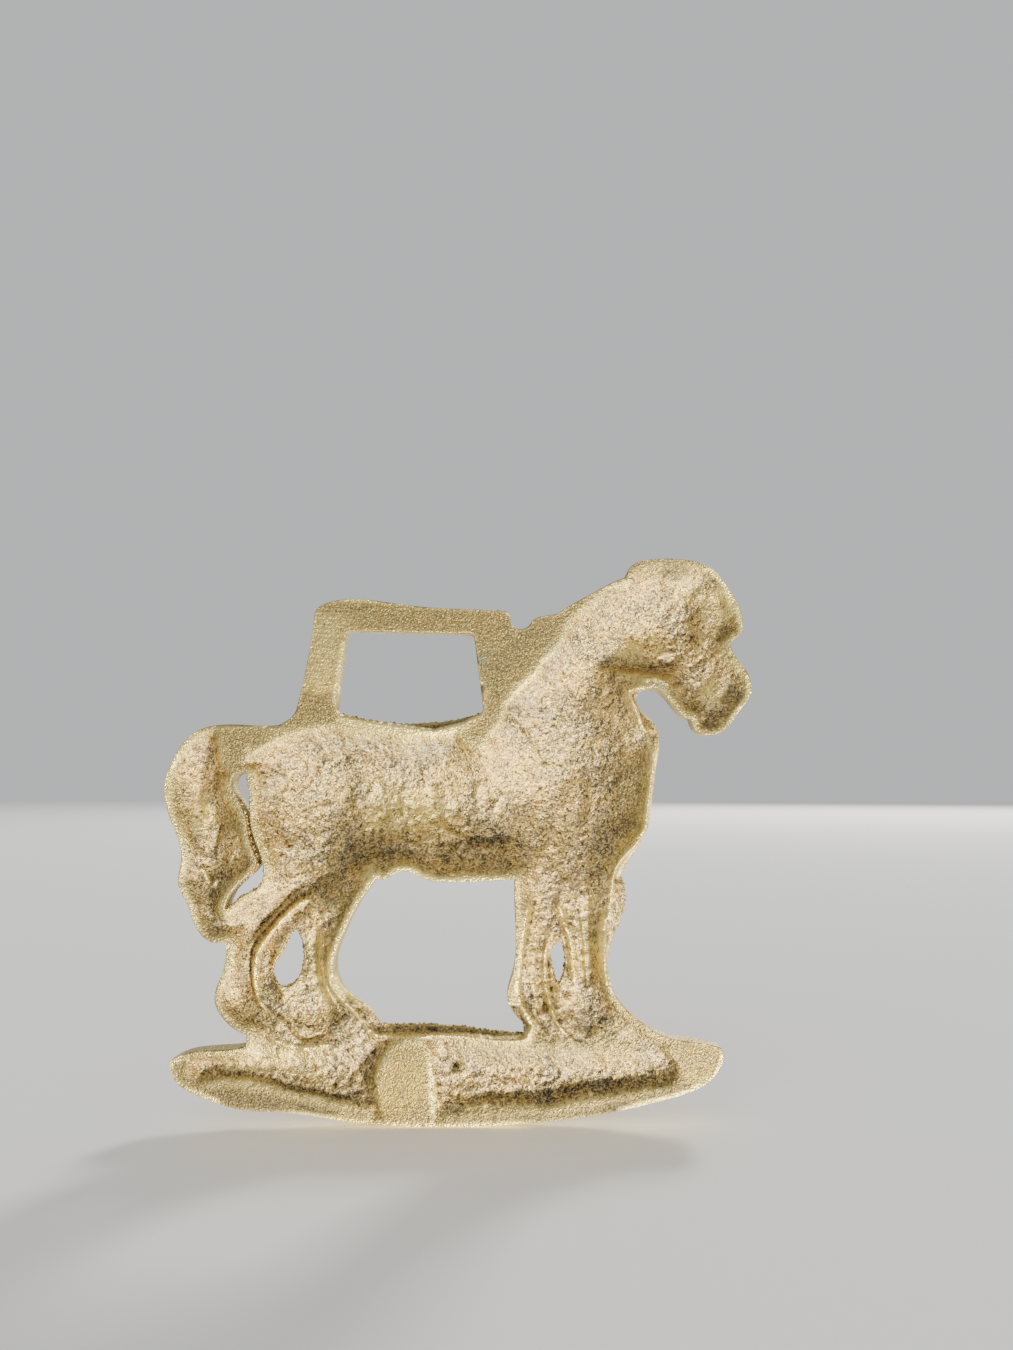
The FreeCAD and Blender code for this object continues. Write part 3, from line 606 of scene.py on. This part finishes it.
SILVERED = [
    (0.95, 1.8, (-19, 53.8), (-14, 55.4), (-8, 55.3), (0, 54.4), (8, 54.6)),
    (0.6, 1.1, (-20.8, 51), (-21, 45)), (0.6, 1.6, (14.5, 58.5), (18, 63), (22.5, 69), (25, 74)),
    (0.5, 2.2, (20, 60)), (0.9, 0.6, (-14, 65)), (0.7, 1.6, (6, 10.6), (16, 10.2), (28, 9.8)),
    (0.35, 1.4, (-24.5, 34), (-22, 32.4)), (0.35, 1.3, (21, 34), (23, 30)),
    (0.4, 1.4, (24.4, 15.2), (27, 12.8)),
]
GILDED = [
    (0.8, 3, (-8, 46), (0, 45), (7, 46)), (0.7, 1.4, (-32, 47), (-31, 42)), (0.8, 3.2, (31, 71), (39, 72)),
    (0.8, 1, (-14, 28), (-13.4, 22), (-12, 16.8)), (0.7, 0.8, (18.2, 32), (18.4, 24), (18.8, 18)),
    (0.8, 0.7, (22.6, 32), (24.2, 26), (24.6, 19)), (0.7, 1, (-24, 26), (-24.6, 22)),
    (0.5, 2.4, (-12, 70), (-12.6, 62)), (0.55, 3.6, (0, 6)), (0.6, 1.4, (-12, 58.6), (-4, 58), (4, 57.2)),
    (0.6, 1.4, (44, 9), (41, 6)), (0.6, 1.2, (45, 63)), (0.4, 2, (20, 55), (15, 49)),
]
# Rims that get a painted highlight, with a line of painted shade just inside.
HIGHLIGHTED_EDGES = [
    (1, 0.8, (-9.8, 71), (-10.8, 65), (-11.6, 60.7)), (0.7, 0.8, (-13, 77.6), (0, 77.4), (12, 76.4)),
    (0.9, 1, (-30, 57.6), (-34.4, 54.6), (-36.2, 49), (-35, 42), (-32.6, 36), (-31.4, 31), (-28.4, 27)),
    (1, 0.9, (44.6, 82.2), (47.6, 79.6), (49.8, 75.6), (50.4, 71.6)),
    (1, 0.9, (51, 66), (50.6, 62), (47, 58.6)), (0.7, 0.9, (46.6, 58.2), (43.8, 59.4)),
    (1, 0.9, (-33.6, 11.4), (-33.2, 8.8), (-30, 5.4), (-26, 3.6)),
    (1, 0.9, (47, 12), (46, 9), (42.6, 6), (36, 3.6), (30, 2.2)), (0.6, 0.9, (-20, 2), (0, 0), (20, 0.6)),
    (0.9, 0.8, (-2, 36.6), (-5, 35.6), (-8.6, 31), (-11, 25), (-11, 21.4), (-8.4, 17), (-4.4, 13)),
    (0.8, 0.8, (-5.8, 36.3), (-1.5, 37), (2.4, 36.3), (8, 35), (15, 35)),
    (0.9, 0.6, (35, 58.8), (36.1, 56.4), (37, 54), (36.5, 49.3), (35.6, 42.8), (34.2, 40.2), (31.8, 37.8),
     (30.3, 33.4), (29.2, 29), (29.3, 23), (31, 19), (36, 14.6)),
]
# Painted light that brightens places lying in shade, and thin painted highlights along ridges and rims.
PAINTED_LIGHTS = [
    (0.3, 3.2, (-12, 76), (-14, 62)), (0.2, 2, (44.6, 80), (40, 78)), (0.4, 1.8, (45, 64.4), (47, 61)),
    (0.45, 1.1, (-13.2, 28), (-13, 20), (-11, 16)), (0.35, 1.8, (-28, 9.4), (-18, 9.6), (-10, 9)),
    (0.28, 2.4, (-8, 46), (0, 45.4), (8, 46)), (0.35, 1.2, (47.4, 79), (48.8, 74)),
    (0.3, 1, (26.4, 33), (26.6, 20)), (0.35, 1.5, (-31.8, 49), (-31, 41)),
    (0.3, 1.6, (30, 70), (36, 69.4)), (0.9, 0.45, (-12, 59), (-5, 57.7), (3.7, 56.9), (9.6, 58.2)),
    (0.8, 0.24, (3.7, 9.8), (3.85, 5.2), (4.2, 0.8)), (0.6, 0.25, (-21.9, 26), (-22.4, 22), (-22, 18.4)),
    (0.6, 0.25, (18.3, 33.5), (17.2, 28), (16.5, 23), (16.2, 19.2), (17.3, 16.2), (19.4, 13.4)),
    (0.5, 0.25, (20.4, 26), (20, 21), (20.5, 17.6), (21.8, 14.8)),
    (0.5, 0.3, (25, 30), (25.6, 25), (25.8, 19.6)), (0.5, 0.3, (-31, 36.5), (-29.5, 34.2)),
    (0.4, 0.3, (14.4, 61), (18.1, 64.9), (21.1, 68.6)), (0.6, 0.3, (29, 31.5), (28.5, 27), (28.6, 22)),
    (0.5, 0.25, (-24.2, 55.4), (-23.8, 51.6)),
]


def back_finish():
    """The shares of wear and painted highlight, dirt and painted shade, bloom, gilding and filing over the
    back.
    """
    proud, broad = convex(BACK, 0.35), convex(BACK, 1.3)
    edge = np.exp(-(INSET / 0.30) ** 2)
    # Wear and painted highlight on what stands proud and along the outline.
    worn = 0.35 * smooth_step(0.03, 0.20, proud) + 0.30 * smooth_step(0.05, 0.5, broad) + 0.30 * edge
    # Painted shade in creases and hollows, where the back sinks below what is round it.
    sunk_shade = 0.55 * smooth_step(0.02, 0.18, -proud) + 0.26 * smooth_step(0.05, 0.6, -broad)
    # Along the listed rims a painted highlight runs on the edge, with a line of painted shade just inside
    # it.
    bright = patches(HIGHLIGHTED_EDGES)
    painted_edge_highlight = 1.6 * bright * np.exp(-(INSET / 0.60) ** 4)
    painted_edge_shade = 0.5 * bright * np.exp(-((INSET - 1.25) / 0.55) ** 2)
    hollow = smooth_step(0.15, 1.1, blur(BACK, 0.4))
    mottle = 0.75 + 0.5 * lumps(1.1)
    return {
        "wear_and_highlight": worn + painted_edge_highlight + patches(PAINTED_LIGHTS),
        "dirt_and_shade": sunk_shade + patches(DARKENED_AND_SHADED) * mottle + 9 * np.maximum(MARKS, 0) + painted_edge_shade,
        "bloom": patches(SILVERED) * mottle,
        "gold": patches(GILDED) * mottle,
        "filed": np.maximum(blur(LAND.astype(float), 0.25), 1 - hollow) + 0.8 * patches(SMOOTHED),
    }


def front_finish():
    """The same shares over the front, which is worn bright where it stands proud and dark in its lines."""
    proud, broad = -convex(FRONT, 0.5), -convex(FRONT, 1.8)
    edge = np.exp(-(INSET / 0.5) ** 2)
    mottle = 0.5 + 0.5 * lumps(2.6)
    return {
        "wear_and_highlight": smooth_step(0.02, 0.14, proud) * 0.8 + smooth_step(0.05, 0.5, broad) * 0.4 + 0.3 * edge,
        "dirt_and_shade": smooth_step(0.02, 0.12, -proud) * 0.9 + smooth_step(0.08, 0.6, -broad) * 0.4,
        "bloom": 0.45 * smooth_step(0.3, 0.9, mottle), "gold": 0.9 * smooth_step(0.7, 0.2, mottle),
        "filed": 0.70 - 0.4 * smooth_step(0.4, 0.9, mottle),
    }


SHARES = ("wear_and_highlight", "dirt_and_shade", "bloom", "gold", "filed")
BACK_FINISH, FRONT_FINISH = back_finish(), front_finish()


# --- the pieces ---

RINGS = 5
WALL_WEAR = 0.2
# The sides of a sample's cell: their two knots, as steps from the sample, and the way to the neighbour.
SIDES = (((-1, -1), (0, -1), (0, -1)), ((0, -1), (0, 0), (1, 0)), ((0, 0), (-1, 0), (0, 1)),
         ((-1, 0), (-1, -1), (-1, 0)))


def sampled(field, places):
    """The field at places between the samples."""
    u = np.clip((places[..., 0] - XS[0]) / NET_STEP, 0, len(XS) - 1.001)
    v = np.clip((places[..., 1] - ZS[0]) / NET_STEP, 0, len(ZS) - 1.001)
    i, j = u.astype(int), v.astype(int)
    a, b = u - i, v - j
    return ((field[i, j] * (1 - a) + field[i + 1, j] * a) * (1 - b)
            + (field[i, j + 1] * (1 - a) + field[i + 1, j + 1] * a) * b)


def unit(vectors):
    return vectors / np.maximum(np.linalg.norm(vectors, axis=-1, keepdims=True), 1e-9)


def borders(owned):
    """The sides where owned samples end: the two knots of each, and what lies beyond it."""
    for a, b, step in SIDES:
        neighbour = np.roll(NODE, (-step[0], -step[1]), (0, 1))
        for i, j in np.argwhere(owned & (neighbour != NODE)):
            yield (i + a[0], j + a[1]), (i + b[0], j + b[1]), neighbour[i, j]


def outward_directions():
    """At each knot on the outline, the direction out of the metal."""
    out = np.zeros(KNOTS.shape)
    for p, q, beyond in borders(SOLID):
        if beyond == OUTSIDE:
            run = KNOTS[q] - KNOTS[p]
            out[p] += (run[1], -run[0])
            out[q] += (run[1], -run[0])
    return out


def drawn_in(edge):
    """The knots, drawn in from the outline so that the edge is rounded by that radius."""
    fade = np.clip(1 - KNOT_INSET / EDGE_REACH, 0, 1) ** 2
    return KNOTS + INWARD * (edge * fade)[..., None]


def sheet_normals(field, places, towards):
    """The unit normals of a sheet whose height is that field."""
    slope_x, slope_z = np.gradient(field, NET_STEP)
    sx, sz = sampled(slope_x, places), sampled(slope_z, places)
    return unit(np.stack([-sx * towards, np.full(sx.shape, float(towards)), -sz * towards], -1))


OUTWARD = outward_directions()
ON_OUTLINE = np.linalg.norm(OUTWARD, axis=-1) > 1e-9
OUTWARD = unit(OUTWARD)
KNOT_INSET, INWARD = to_outline(OUTLINE_TREE, KNOTS)
INWARD[ON_OUTLINE] = -OUTWARD[ON_OUTLINE]
KNOT_INSET[ON_OUTLINE] = 0
RAGGED = 1 + 0.8 * sampled(np.clip(lumps(0.8), -1, 1), KNOTS)
BACK_PLACES, FRONT_PLACES = drawn_in(BACK_EDGE * RAGGED), drawn_in(FRONT_EDGE * RAGGED)
BACK_NORMALS = sheet_normals(BACK, BACK_PLACES, -1)
FRONT_NORMALS = sheet_normals(FRONT, FRONT_PLACES, 1)
BACK_AT, FRONT_AT = sampled(BACK, BACK_PLACES), sampled(FRONT, FRONT_PLACES)


def ring_point(knot, ring):
    """A point of the wall between the two sheets: ring 0 is on the back sheet and the last on the front."""
    near, far = BACK_AT[knot], FRONT_AT[knot]
    if ring == 0:
        return (*BACK_PLACES[knot], near)
    if ring == RINGS - 1:
        return (*FRONT_PLACES[knot], far)
    if not ON_OUTLINE[knot]:
        return (*KNOTS[knot], near + (far - near) * ring / (RINGS - 1))
    heights = (near + BACK_EDGE, (near + far) / 2, far - FRONT_EDGE)
    return (*KNOTS[knot], heights[ring - 1])


def edge_normal(knot, ring):
    """The normal of a wall on the outline, which rounds over into the two sheets."""
    if ring == 0:
        return BACK_NORMALS[knot]
    if ring == RINGS - 1:
        return FRONT_NORMALS[knot]
    return np.array((OUTWARD[knot][0], 0, OUTWARD[knot][1]))


def piece_mesh(name, index):
    """The closed mesh of one region of the casting: its back sheet, its front sheet and its walls."""
    cells = np.argwhere(NODE == index)
    corner = [cells + offset for offset in ((-1, -1), (0, -1), (0, 0), (-1, 0))]
    rows = KNOTS.shape[1]
    flat = np.stack([c[:, 0] * rows + c[:, 1] for c in corner], -1)
    used, local = np.unique(flat, return_inverse=True)
    local = local.reshape(flat.shape)
    count = len(used)
    knot = [(int(k) // rows, int(k) % rows) for k in used]
    place_of = {k: place for place, k in enumerate(knot)}
    points = [ring_point(k, 0) for k in knot] + [ring_point(k, RINGS - 1) for k in knot]
    faces = [tuple(q) for q in local.tolist()] + [tuple(q[::-1]) for q in (local + count).tolist()]
    normals = [BACK_NORMALS[knot[v]] for q in local for v in q]
    normals += [FRONT_NORMALS[knot[v]] for q in local for v in q[::-1]]
    at = list(range(count)) * 2
    ring_of = [0] * count + [RINGS - 1] * count
    columns = {}

    def column(v):
        if v not in columns:
            rings = [v]
            for ring in range(1, RINGS - 1):
                rings.append(len(points))
                points.append(ring_point(knot[v], ring))
                at.append(v)
                ring_of.append(ring)
            columns[v] = rings + [v + count]
        return columns[v]

    for start, end, beyond in borders(NODE == index):
        p, q = place_of[start], place_of[end]
        run = KNOTS[end] - KNOTS[start]
        cut = unit(np.array((run[1], 0, -run[0])))
        left, right = column(p), column(q)
        for ring in range(RINGS - 1):
            faces.append((right[ring], left[ring], left[ring + 1], right[ring + 1]))
            for v, level in ((q, ring), (p, ring), (p, ring + 1), (q, ring + 1)):
                normals.append(edge_normal(knot[v], level) if beyond == OUTSIDE else cut)
    points = np.array(points)[:, (0, 2, 1)] * MM
    mesh = bpy.data.meshes.new(name)
    mesh.from_pydata(points.tolist(), [], faces)
    mesh.update()
    mesh.shade_smooth()
    mesh.normals_split_custom_set(np.array(normals).tolist())
    add_shares(mesh, used, np.array(at), np.array(ring_of))
    return mesh


def add_shares(mesh, used, at, ring_of):
    """Writes what the finish reads onto the points of a piece."""
    knots_of = used[at]
    i, j = knots_of // KNOTS.shape[1], knots_of % KNOTS.shape[1]
    towards_front = np.clip((ring_of - 1) / (RINGS - 2), 0, 1)
    for share in SHARES:
        near = sampled(BACK_FINISH[share], BACK_PLACES[i, j])
        far = sampled(FRONT_FINISH[share], FRONT_PLACES[i, j])
        value = near * (1 - towards_front) + far * towards_front
        if share == "wear_and_highlight":
            value = np.where((ring_of > 1) & (ring_of < RINGS - 1), WALL_WEAR, value)
        attribute = mesh.attributes.new(share, "FLOAT", "POINT")
        attribute.data.foreach_set("value", np.clip(value, 0, 1).astype(np.float32))


# --- the finish ---

class Nodes:
    """A tree of nodes, built a node at a time."""

    def add(self, kind, settings, inputs):
        """Adds a node: its settings first, then the values or links of its sockets."""
        made = self.tree.nodes.new(kind)
        for name, value in (settings or {}).items():
            setattr(made, name, value)
        for socket, value in (inputs or {}).items():
            self.join(value, made.inputs[socket])
        return made.outputs

    def join(self, value, socket):
        """Links a channel or an output to a socket, or sets a plain value on it."""
        value = getattr(value, "socket", value)
        if isinstance(value, bpy.types.NodeSocket):
            self.tree.links.new(value, socket)
        else:
            socket.default_value = value


def operator(operation, swapped=False):
    """A method that joins a channel and a channel or number by a Math node."""
    def method(self, other):
        first, second = (other, self) if swapped else (self, other)
        return self.finish.node("ShaderNodeMath", {"operation": operation}, {0: first, 1: second})
    return method


class Channel:
    """A shader output that takes part in sums, so that a mask reads as its formula."""

    def __init__(self, finish, socket):
        self.finish, self.socket = finish, socket

    __add__ = __radd__ = operator("ADD")
    __mul__ = __rmul__ = operator("MULTIPLY")
    __sub__ = operator("SUBTRACT")
    __rsub__ = operator("SUBTRACT", swapped=True)


class Finish(Nodes):
    """A material and the nodes that make it."""

    def __init__(self, name):
        self.material = bpy.data.materials.new(name)
        self.material.use_nodes = True
        self.tree = self.material.node_tree
        self.shader = next(n for n in self.tree.nodes if n.type == "BSDF_PRINCIPLED")

    def node(self, kind, settings=None, inputs=None, output=0):
        """Adds a node and gives the channel that comes out of it."""
        return Channel(self, self.add(kind, settings, inputs)[output])

    def share(self, name):
        return self.node("ShaderNodeAttribute", {"attribute_name": name}, output="Fac")

    def noise(self, size, detail=3.0, roughness=0.55, warp=0.0):
        """Noise from 0 to 1 with grains of about that size in millimetres."""
        where = self.node("ShaderNodeTexCoord", output="Object")
        return self.node("ShaderNodeTexNoise", None, {
            "Vector": where, "Scale": 1 / (size * MM * 2), "Detail": detail, "Roughness": roughness,
            "Distortion": warp})

    def between(self, value, low, high):
        """0 below low, 1 above high, and smooth between."""
        return self.node("ShaderNodeMapRange", {"interpolation_type": "SMOOTHSTEP"},
                         {"Value": value, "From Min": low, "From Max": high})

    def mix(self, factor, first, second):
        """One colour towards another by a share."""
        return self.node("ShaderNodeMix", {"data_type": "RGBA", "clamp_factor": True},
                         {0: factor, 6: first, 7: second}, output=2)

    def bump(self, height, strength, distance, under=None):
        inputs = {"Height": height, "Strength": strength, "Distance": distance * MM}
        if under is not None:
            inputs["Normal"] = under
        return self.node("ShaderNodeBump", None, inputs)


# The colours of the metal and of what lies on it, and of its painted highlights and painted shade.
# Dark brown for oxide and painted shade in the pits.
PIT_SHADE_AND_OXIDE = (0.110, 0.080, 0.045, 1)
GOLDEN = (0.760, 0.520, 0.075, 1)
TAN = (0.480, 0.300, 0.105, 1)
PINK_GREY = (0.335, 0.225, 0.135, 1)
MAUVE = (0.165, 0.134, 0.116, 1)
OLIVE = (0.195, 0.145, 0.047, 1)
# Pale gold for worn edges, and for painted glints and highlights.
HIGHLIGHT_AND_WEAR_GOLD = (1.000, 0.800, 0.260, 1)
BLOOM = (0.255, 0.225, 0.200, 1)
# Near black for dirt, and for painted shade in the deepest pits, creases and hollows.
DIRT_AND_SHADE_BLACK = (0.020, 0.015, 0.010, 1)
VERDIGRIS = (0.180, 0.230, 0.160, 1)


def aged_brass(name, filed):
    """Brass as it came from the mould and darkened, with bright worn edges, painted glints and highlights
    and painted shade; filed parts are smoother.
    """
    f = Finish(name)
    wear_and_highlight, dirt_and_shade, bloom, gold = f.share("wear_and_highlight"), f.share("dirt_and_shade"), f.share("bloom"), f.share("gold")
    smooth, rough = f.share("filed"), 1 - f.share("filed")
    grain, pits, specks = f.noise(0.17, 2.0, 0.6), f.noise(0.34, 3.0, 0.75), f.noise(0.11, 1.0)
    patch, broad = f.noise(1.4, 4.0, 0.65, 0.5), f.noise(4.2, 2.0)
    # Patches of colour.
    skin = f.mix(f.between(patch, 0.42, 0.58), PINK_GREY, TAN)
    skin = f.mix(f.between(broad, 0.46, 0.60) * f.between(patch, 0.62, 0.44) * 0.75, skin, MAUVE)
    skin = f.mix(bloom * f.between(f.noise(0.6, 4.0, 0.7), 0.32, 0.56), skin, BLOOM)
    skin = f.mix(smooth * 0.80, skin, OLIVE)
    skin = f.mix(gold * f.between(patch, 0.34, 0.50) * 0.9, skin, GOLDEN)
    # Painted glints on the grains, oxide and painted shade in the pits, and dirt with painted shade where
    # the metal is darkened.
    skin = f.mix(f.between(grain, 0.50, 0.60) * (rough * 0.45 + 0.22), skin, HIGHLIGHT_AND_WEAR_GOLD)
    skin = f.mix(f.between(pits, 0.50, 0.38) * (rough * 0.50 + 0.38), skin, PIT_SHADE_AND_OXIDE)
    skin = f.mix(f.between(pits, 0.38, 0.30) * (rough * 0.45 + 0.20), skin, DIRT_AND_SHADE_BLACK)
    skin = f.mix(dirt_and_shade * (0.50 + 0.5 * f.between(pits, 0.62, 0.40)), skin, DIRT_AND_SHADE_BLACK)
    # Painted glints on bright specks, worn edges with painted highlight, and a little verdigris.
    skin = f.mix(f.between(specks, 0.56, 0.64) * (0.40 - 0.25 * dirt_and_shade), skin, HIGHLIGHT_AND_WEAR_GOLD)
    skin = f.mix(wear_and_highlight * f.between(pits, 0.28, 0.46), skin, HIGHLIGHT_AND_WEAR_GOLD)
    skin = f.mix(f.between(f.noise(3.4, 3.0, 0.6), 0.62, 0.74) * smooth * 0.45, skin, VERDIGRIS)
    f.join(skin, f.shader.inputs["Base Color"])
    roughness = 0.46 + 0.16 * dirt_and_shade - 0.18 * wear_and_highlight + 0.20 * (pits - 0.5)
    f.join(roughness, f.shader.inputs["Roughness"])
    f.join(0.84 - 0.45 * dirt_and_shade - 0.35 * bloom + 0.1 * wear_and_highlight, f.shader.inputs["Metallic"])
    fine = f.bump(grain, 0.9 if filed else 1.0, 0.12)
    f.join(f.bump(pits, 0.8 if filed else 1.0, 0.19, fine), f.shader.inputs["Normal"])
    return f.material


FINISHES = {slot: aged_brass(slot, slot == "filed_brass") for slot in ("cast_brass", "filed_brass")}
FILED_NODES = ("loop_rear_post", "loop_top_bar", "loop_front_web", "runner_stub")


def put_in_scene(name, data):
    """A new object, linked into the scene."""
    made = bpy.data.objects.new(name, data)
    bpy.context.scene.collection.objects.link(made)
    return made


def build_piece(index, node):
    """One region of the casting, which stands for its CAD node."""
    slot = "filed_brass" if node in FILED_NODES else "cast_brass"
    piece = put_in_scene(node + "_metal", piece_mesh(node + "_metal", index))
    piece.data.materials.append(FINISHES[slot])
    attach(piece, "root")
    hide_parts(node)


for number, node_name in enumerate(NODES):
    build_piece(number, node_name)


# --- crumbs of metal along the ragged edges ---

# Where the mould broke away: x and z from, x and z to.
CRUMBLY = RIMLESS + [(-10.6, 56.6, 10.6, 60.2), (-25.2, 31.0, -20.6, 50.4), (-6.0, 12.0, 17.4, 14.2),
                     (13.0, 74.5, 20.0, 78.5), (31.0, 28.0, 38.4, 40.0)]
# In millimetres: the least and the largest radius, and how deep behind the back the crumbs sit.
CRUMB_SIZES = (0.10, 0.36)
CRUMB_DEPTHS = (0.62, 1.7)
CRUMB_SHARE = 0.45
DENT_SCALE = 1.3


class Growth(Nodes):
    """A geometry node tree with named inputs."""

    def __init__(self, name, inputs):
        self.tree = bpy.data.node_groups.new(name, "GeometryNodeTree")
        face = self.tree.interface
        face.new_socket("Geometry", in_out="INPUT", socket_type="NodeSocketGeometry")
        self.sockets = {label: face.new_socket(label, in_out="INPUT", socket_type="NodeSocket" + kind)
                        for label, kind in inputs}
        face.new_socket("Geometry", in_out="OUTPUT", socket_type="NodeSocketGeometry")
        self.inputs = self.tree.nodes.new("NodeGroupInput").outputs

    def node(self, kind, settings=None, inputs=None, output=0):
        """Adds a node and gives the output that is asked for."""
        return self.add(kind, settings, inputs)[output]


def crumb_growth():
    """Stands an uneven crumb on some of the points that come in."""
    g = Growth("mould_crumbs", (("Smallest", "Float"), ("Largest", "Float"), ("Share", "Float"),
                                ("Seed", "Int"), ("Finish", "Material")))
    put, seed = g.inputs, g.inputs["Seed"]
    ball = g.node("GeometryNodeMeshIcoSphere", inputs={"Radius": 1.0, "Subdivisions": 2})
    dent = g.node("ShaderNodeTexNoise", inputs={"Scale": DENT_SCALE}, output="Fac")
    reach = g.node("ShaderNodeMath", {"operation": "SUBTRACT"}, {0: dent, 1: 0.5})
    normal = g.node("GeometryNodeInputNormal")
    push = g.node("ShaderNodeVectorMath", {"operation": "SCALE"}, {0: normal, "Scale": reach}, "Vector")
    crumb = g.node("GeometryNodeSetPosition", inputs={"Geometry": ball, "Offset": push})
    chosen = g.node("FunctionNodeRandomValue", {"data_type": "BOOLEAN"}, {6: put["Share"], 8: seed}, 3)
    size = []
    for k in (1.0, 2.0, 3.0):
        own_seed = g.node("ShaderNodeMath", {"operation": "ADD"}, {0: seed, 1: k})
        size.append(g.node("FunctionNodeRandomValue", {"data_type": "FLOAT"},
                           {2: put["Smallest"], 3: put["Largest"], 8: own_seed}, 1))
    scale = g.node("ShaderNodeCombineXYZ", inputs=dict(enumerate(size)))
    turn = g.node("FunctionNodeRandomValue", {"data_type": "FLOAT_VECTOR"},
                  {1: (2 * math.pi,) * 3, 8: seed}, 0)
    placed = g.node("GeometryNodeInstanceOnPoints", inputs={
        "Points": put["Geometry"], "Selection": chosen, "Instance": crumb, "Rotation": turn, "Scale": scale})
    real = g.node("GeometryNodeRealizeInstances", inputs={"Geometry": placed})
    smooth = g.node("GeometryNodeSetShadeSmooth", inputs={"Geometry": real})
    coated = g.node("GeometryNodeSetMaterial", inputs={"Geometry": smooth, "Material": put["Finish"]})
    g.add("NodeGroupOutput", None, {0: coated})
    return g


def crumb_points():
    """Points on the walls of the crumbly edges, between the back and the front."""
    points = []
    for x, z in OUTLINE:
        if any(a < x < c and b < z - PLINTH_BOTTOM < d for a, b, c, d in CRUMBLY):
            place = np.array((x, z))
            depth = float(sampled(BACK, place)) + RANDOM.uniform(*CRUMB_DEPTHS)
            deepest = float(sampled(FRONT, place)) - FRONT_EDGE - CRUMB_SIZES[1]
            points.append((x * MM, max(min(depth, deepest), CRUMB_DEPTHS[0]) * MM, z * MM))
    return points


def build_crumbs():
    """The crumbs as one piece, which stands for nothing in the CAD model."""
    seeds = bpy.data.meshes.new("crumb_points")
    seeds.from_pydata(crumb_points(), [], [])
    holder = put_in_scene("crumb_points", seeds)
    growth = crumb_growth()
    modifier = holder.modifiers.new("crumbs", "NODES")
    modifier.node_group = growth.tree
    values = {"Smallest": CRUMB_SIZES[0] * MM, "Largest": CRUMB_SIZES[1] * MM, "Share": CRUMB_SHARE,
              "Seed": SEED, "Finish": FINISHES["cast_brass"]}
    for label, value in values.items():
        modifier[growth.sockets[label].identifier] = value
    graph = bpy.context.evaluated_depsgraph_get()
    mesh = bpy.data.meshes.new_from_object(holder.evaluated_get(graph))
    holder.modifiers.remove(modifier)
    bpy.data.objects.remove(holder)
    piece = put_in_scene("mould_crumbs", mesh)
    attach(piece, "root")


build_crumbs()


# --- the studio ---

MIDDLE = (Vector(CAD_BOX[0]) + Vector(CAD_BOX[1])) / 2
FLOOR_REACH = 3.0
FLOOR_COLOUR = (0.96, 0.955, 0.94, 1)
FLOOR_ROUGHNESS = 0.9
SKY_COLOUR = (0.97, 0.98, 1.0, 1)
SKY_STRENGTH = 0.62
# Lamps: name, direction from the casting, distance and size in metres, power and colour.
LAMPS = (
    ("key", (0.48, -0.56, -0.68), 0.60, 0.10, 13.0, (1.0, 0.94, 0.82)),
    ("fill", (-0.5, -0.7, 0.6), 2.4, 1.8, 9.0, (0.72, 0.85, 1.0)),
    ("front_key", (0.4, 0.8, 0.5), 2.4, 0.5, 42.0, (1.0, 0.97, 0.92)),
)
CAMERA_PLACE = (0.0146, -0.1521, -0.0170)
CAMERA_TILT = 6.21
LENS, SENSOR, NEAREST = 27.04, 36, 0.005


def build_floor():
    """A plain pale floor under the plinth, which the low key light shines through."""
    mesh = bpy.data.meshes.new("floor")
    corners = ((-1, -1), (1, -1), (1, 1), (-1, 1))
    level = CAD_BOX[0][2]
    mesh.from_pydata([(x * FLOOR_REACH, y * FLOOR_REACH, level) for x, y in corners], [], [(0, 1, 2, 3)])
    floor = put_in_scene("floor", mesh)
    f = Finish("pale_floor")
    f.join(FLOOR_COLOUR, f.shader.inputs["Base Color"])
    f.join(FLOOR_ROUGHNESS, f.shader.inputs["Roughness"])
    f.join(0.0, f.shader.inputs["Specular IOR Level"])
    mesh.materials.append(f.material)
    floor.visible_shadow = False


def build_world():
    """Even light from all round."""
    world = bpy.data.worlds.new("studio")
    world.use_nodes = True
    background = world.node_tree.nodes["Background"]
    background.inputs["Color"].default_value = SKY_COLOUR
    background.inputs["Strength"].default_value = SKY_STRENGTH
    bpy.context.scene.world = world


def build_lamp(name, direction, distance, size, power, colour):
    """A soft square lamp that faces the casting."""
    lamp = bpy.data.lights.new(name, "AREA")
    lamp.shape, lamp.size, lamp.energy, lamp.color = "SQUARE", size, power, colour
    holder = put_in_scene(name, lamp)
    place = Vector(direction).normalized() * distance
    holder.location = MIDDLE + place
    holder.rotation_euler = place.to_track_quat("Z", "Y").to_euler()
    holder.visible_camera = False


def build_camera():
    """The camera looks at the hollow back from in front of it, a little upwards."""
    camera = bpy.data.cameras.new("camera")
    camera.lens, camera.sensor_width, camera.sensor_fit = LENS, SENSOR, "AUTO"
    camera.clip_start = NEAREST
    holder = put_in_scene("camera", camera)
    holder.location = CAMERA_PLACE
    holder.rotation_euler = (math.pi / 2 + math.radians(CAMERA_TILT), 0, 0)
    bpy.context.scene.camera = holder


build_floor()
build_world()
for row in LAMPS:
    build_lamp(*row)
build_camera()
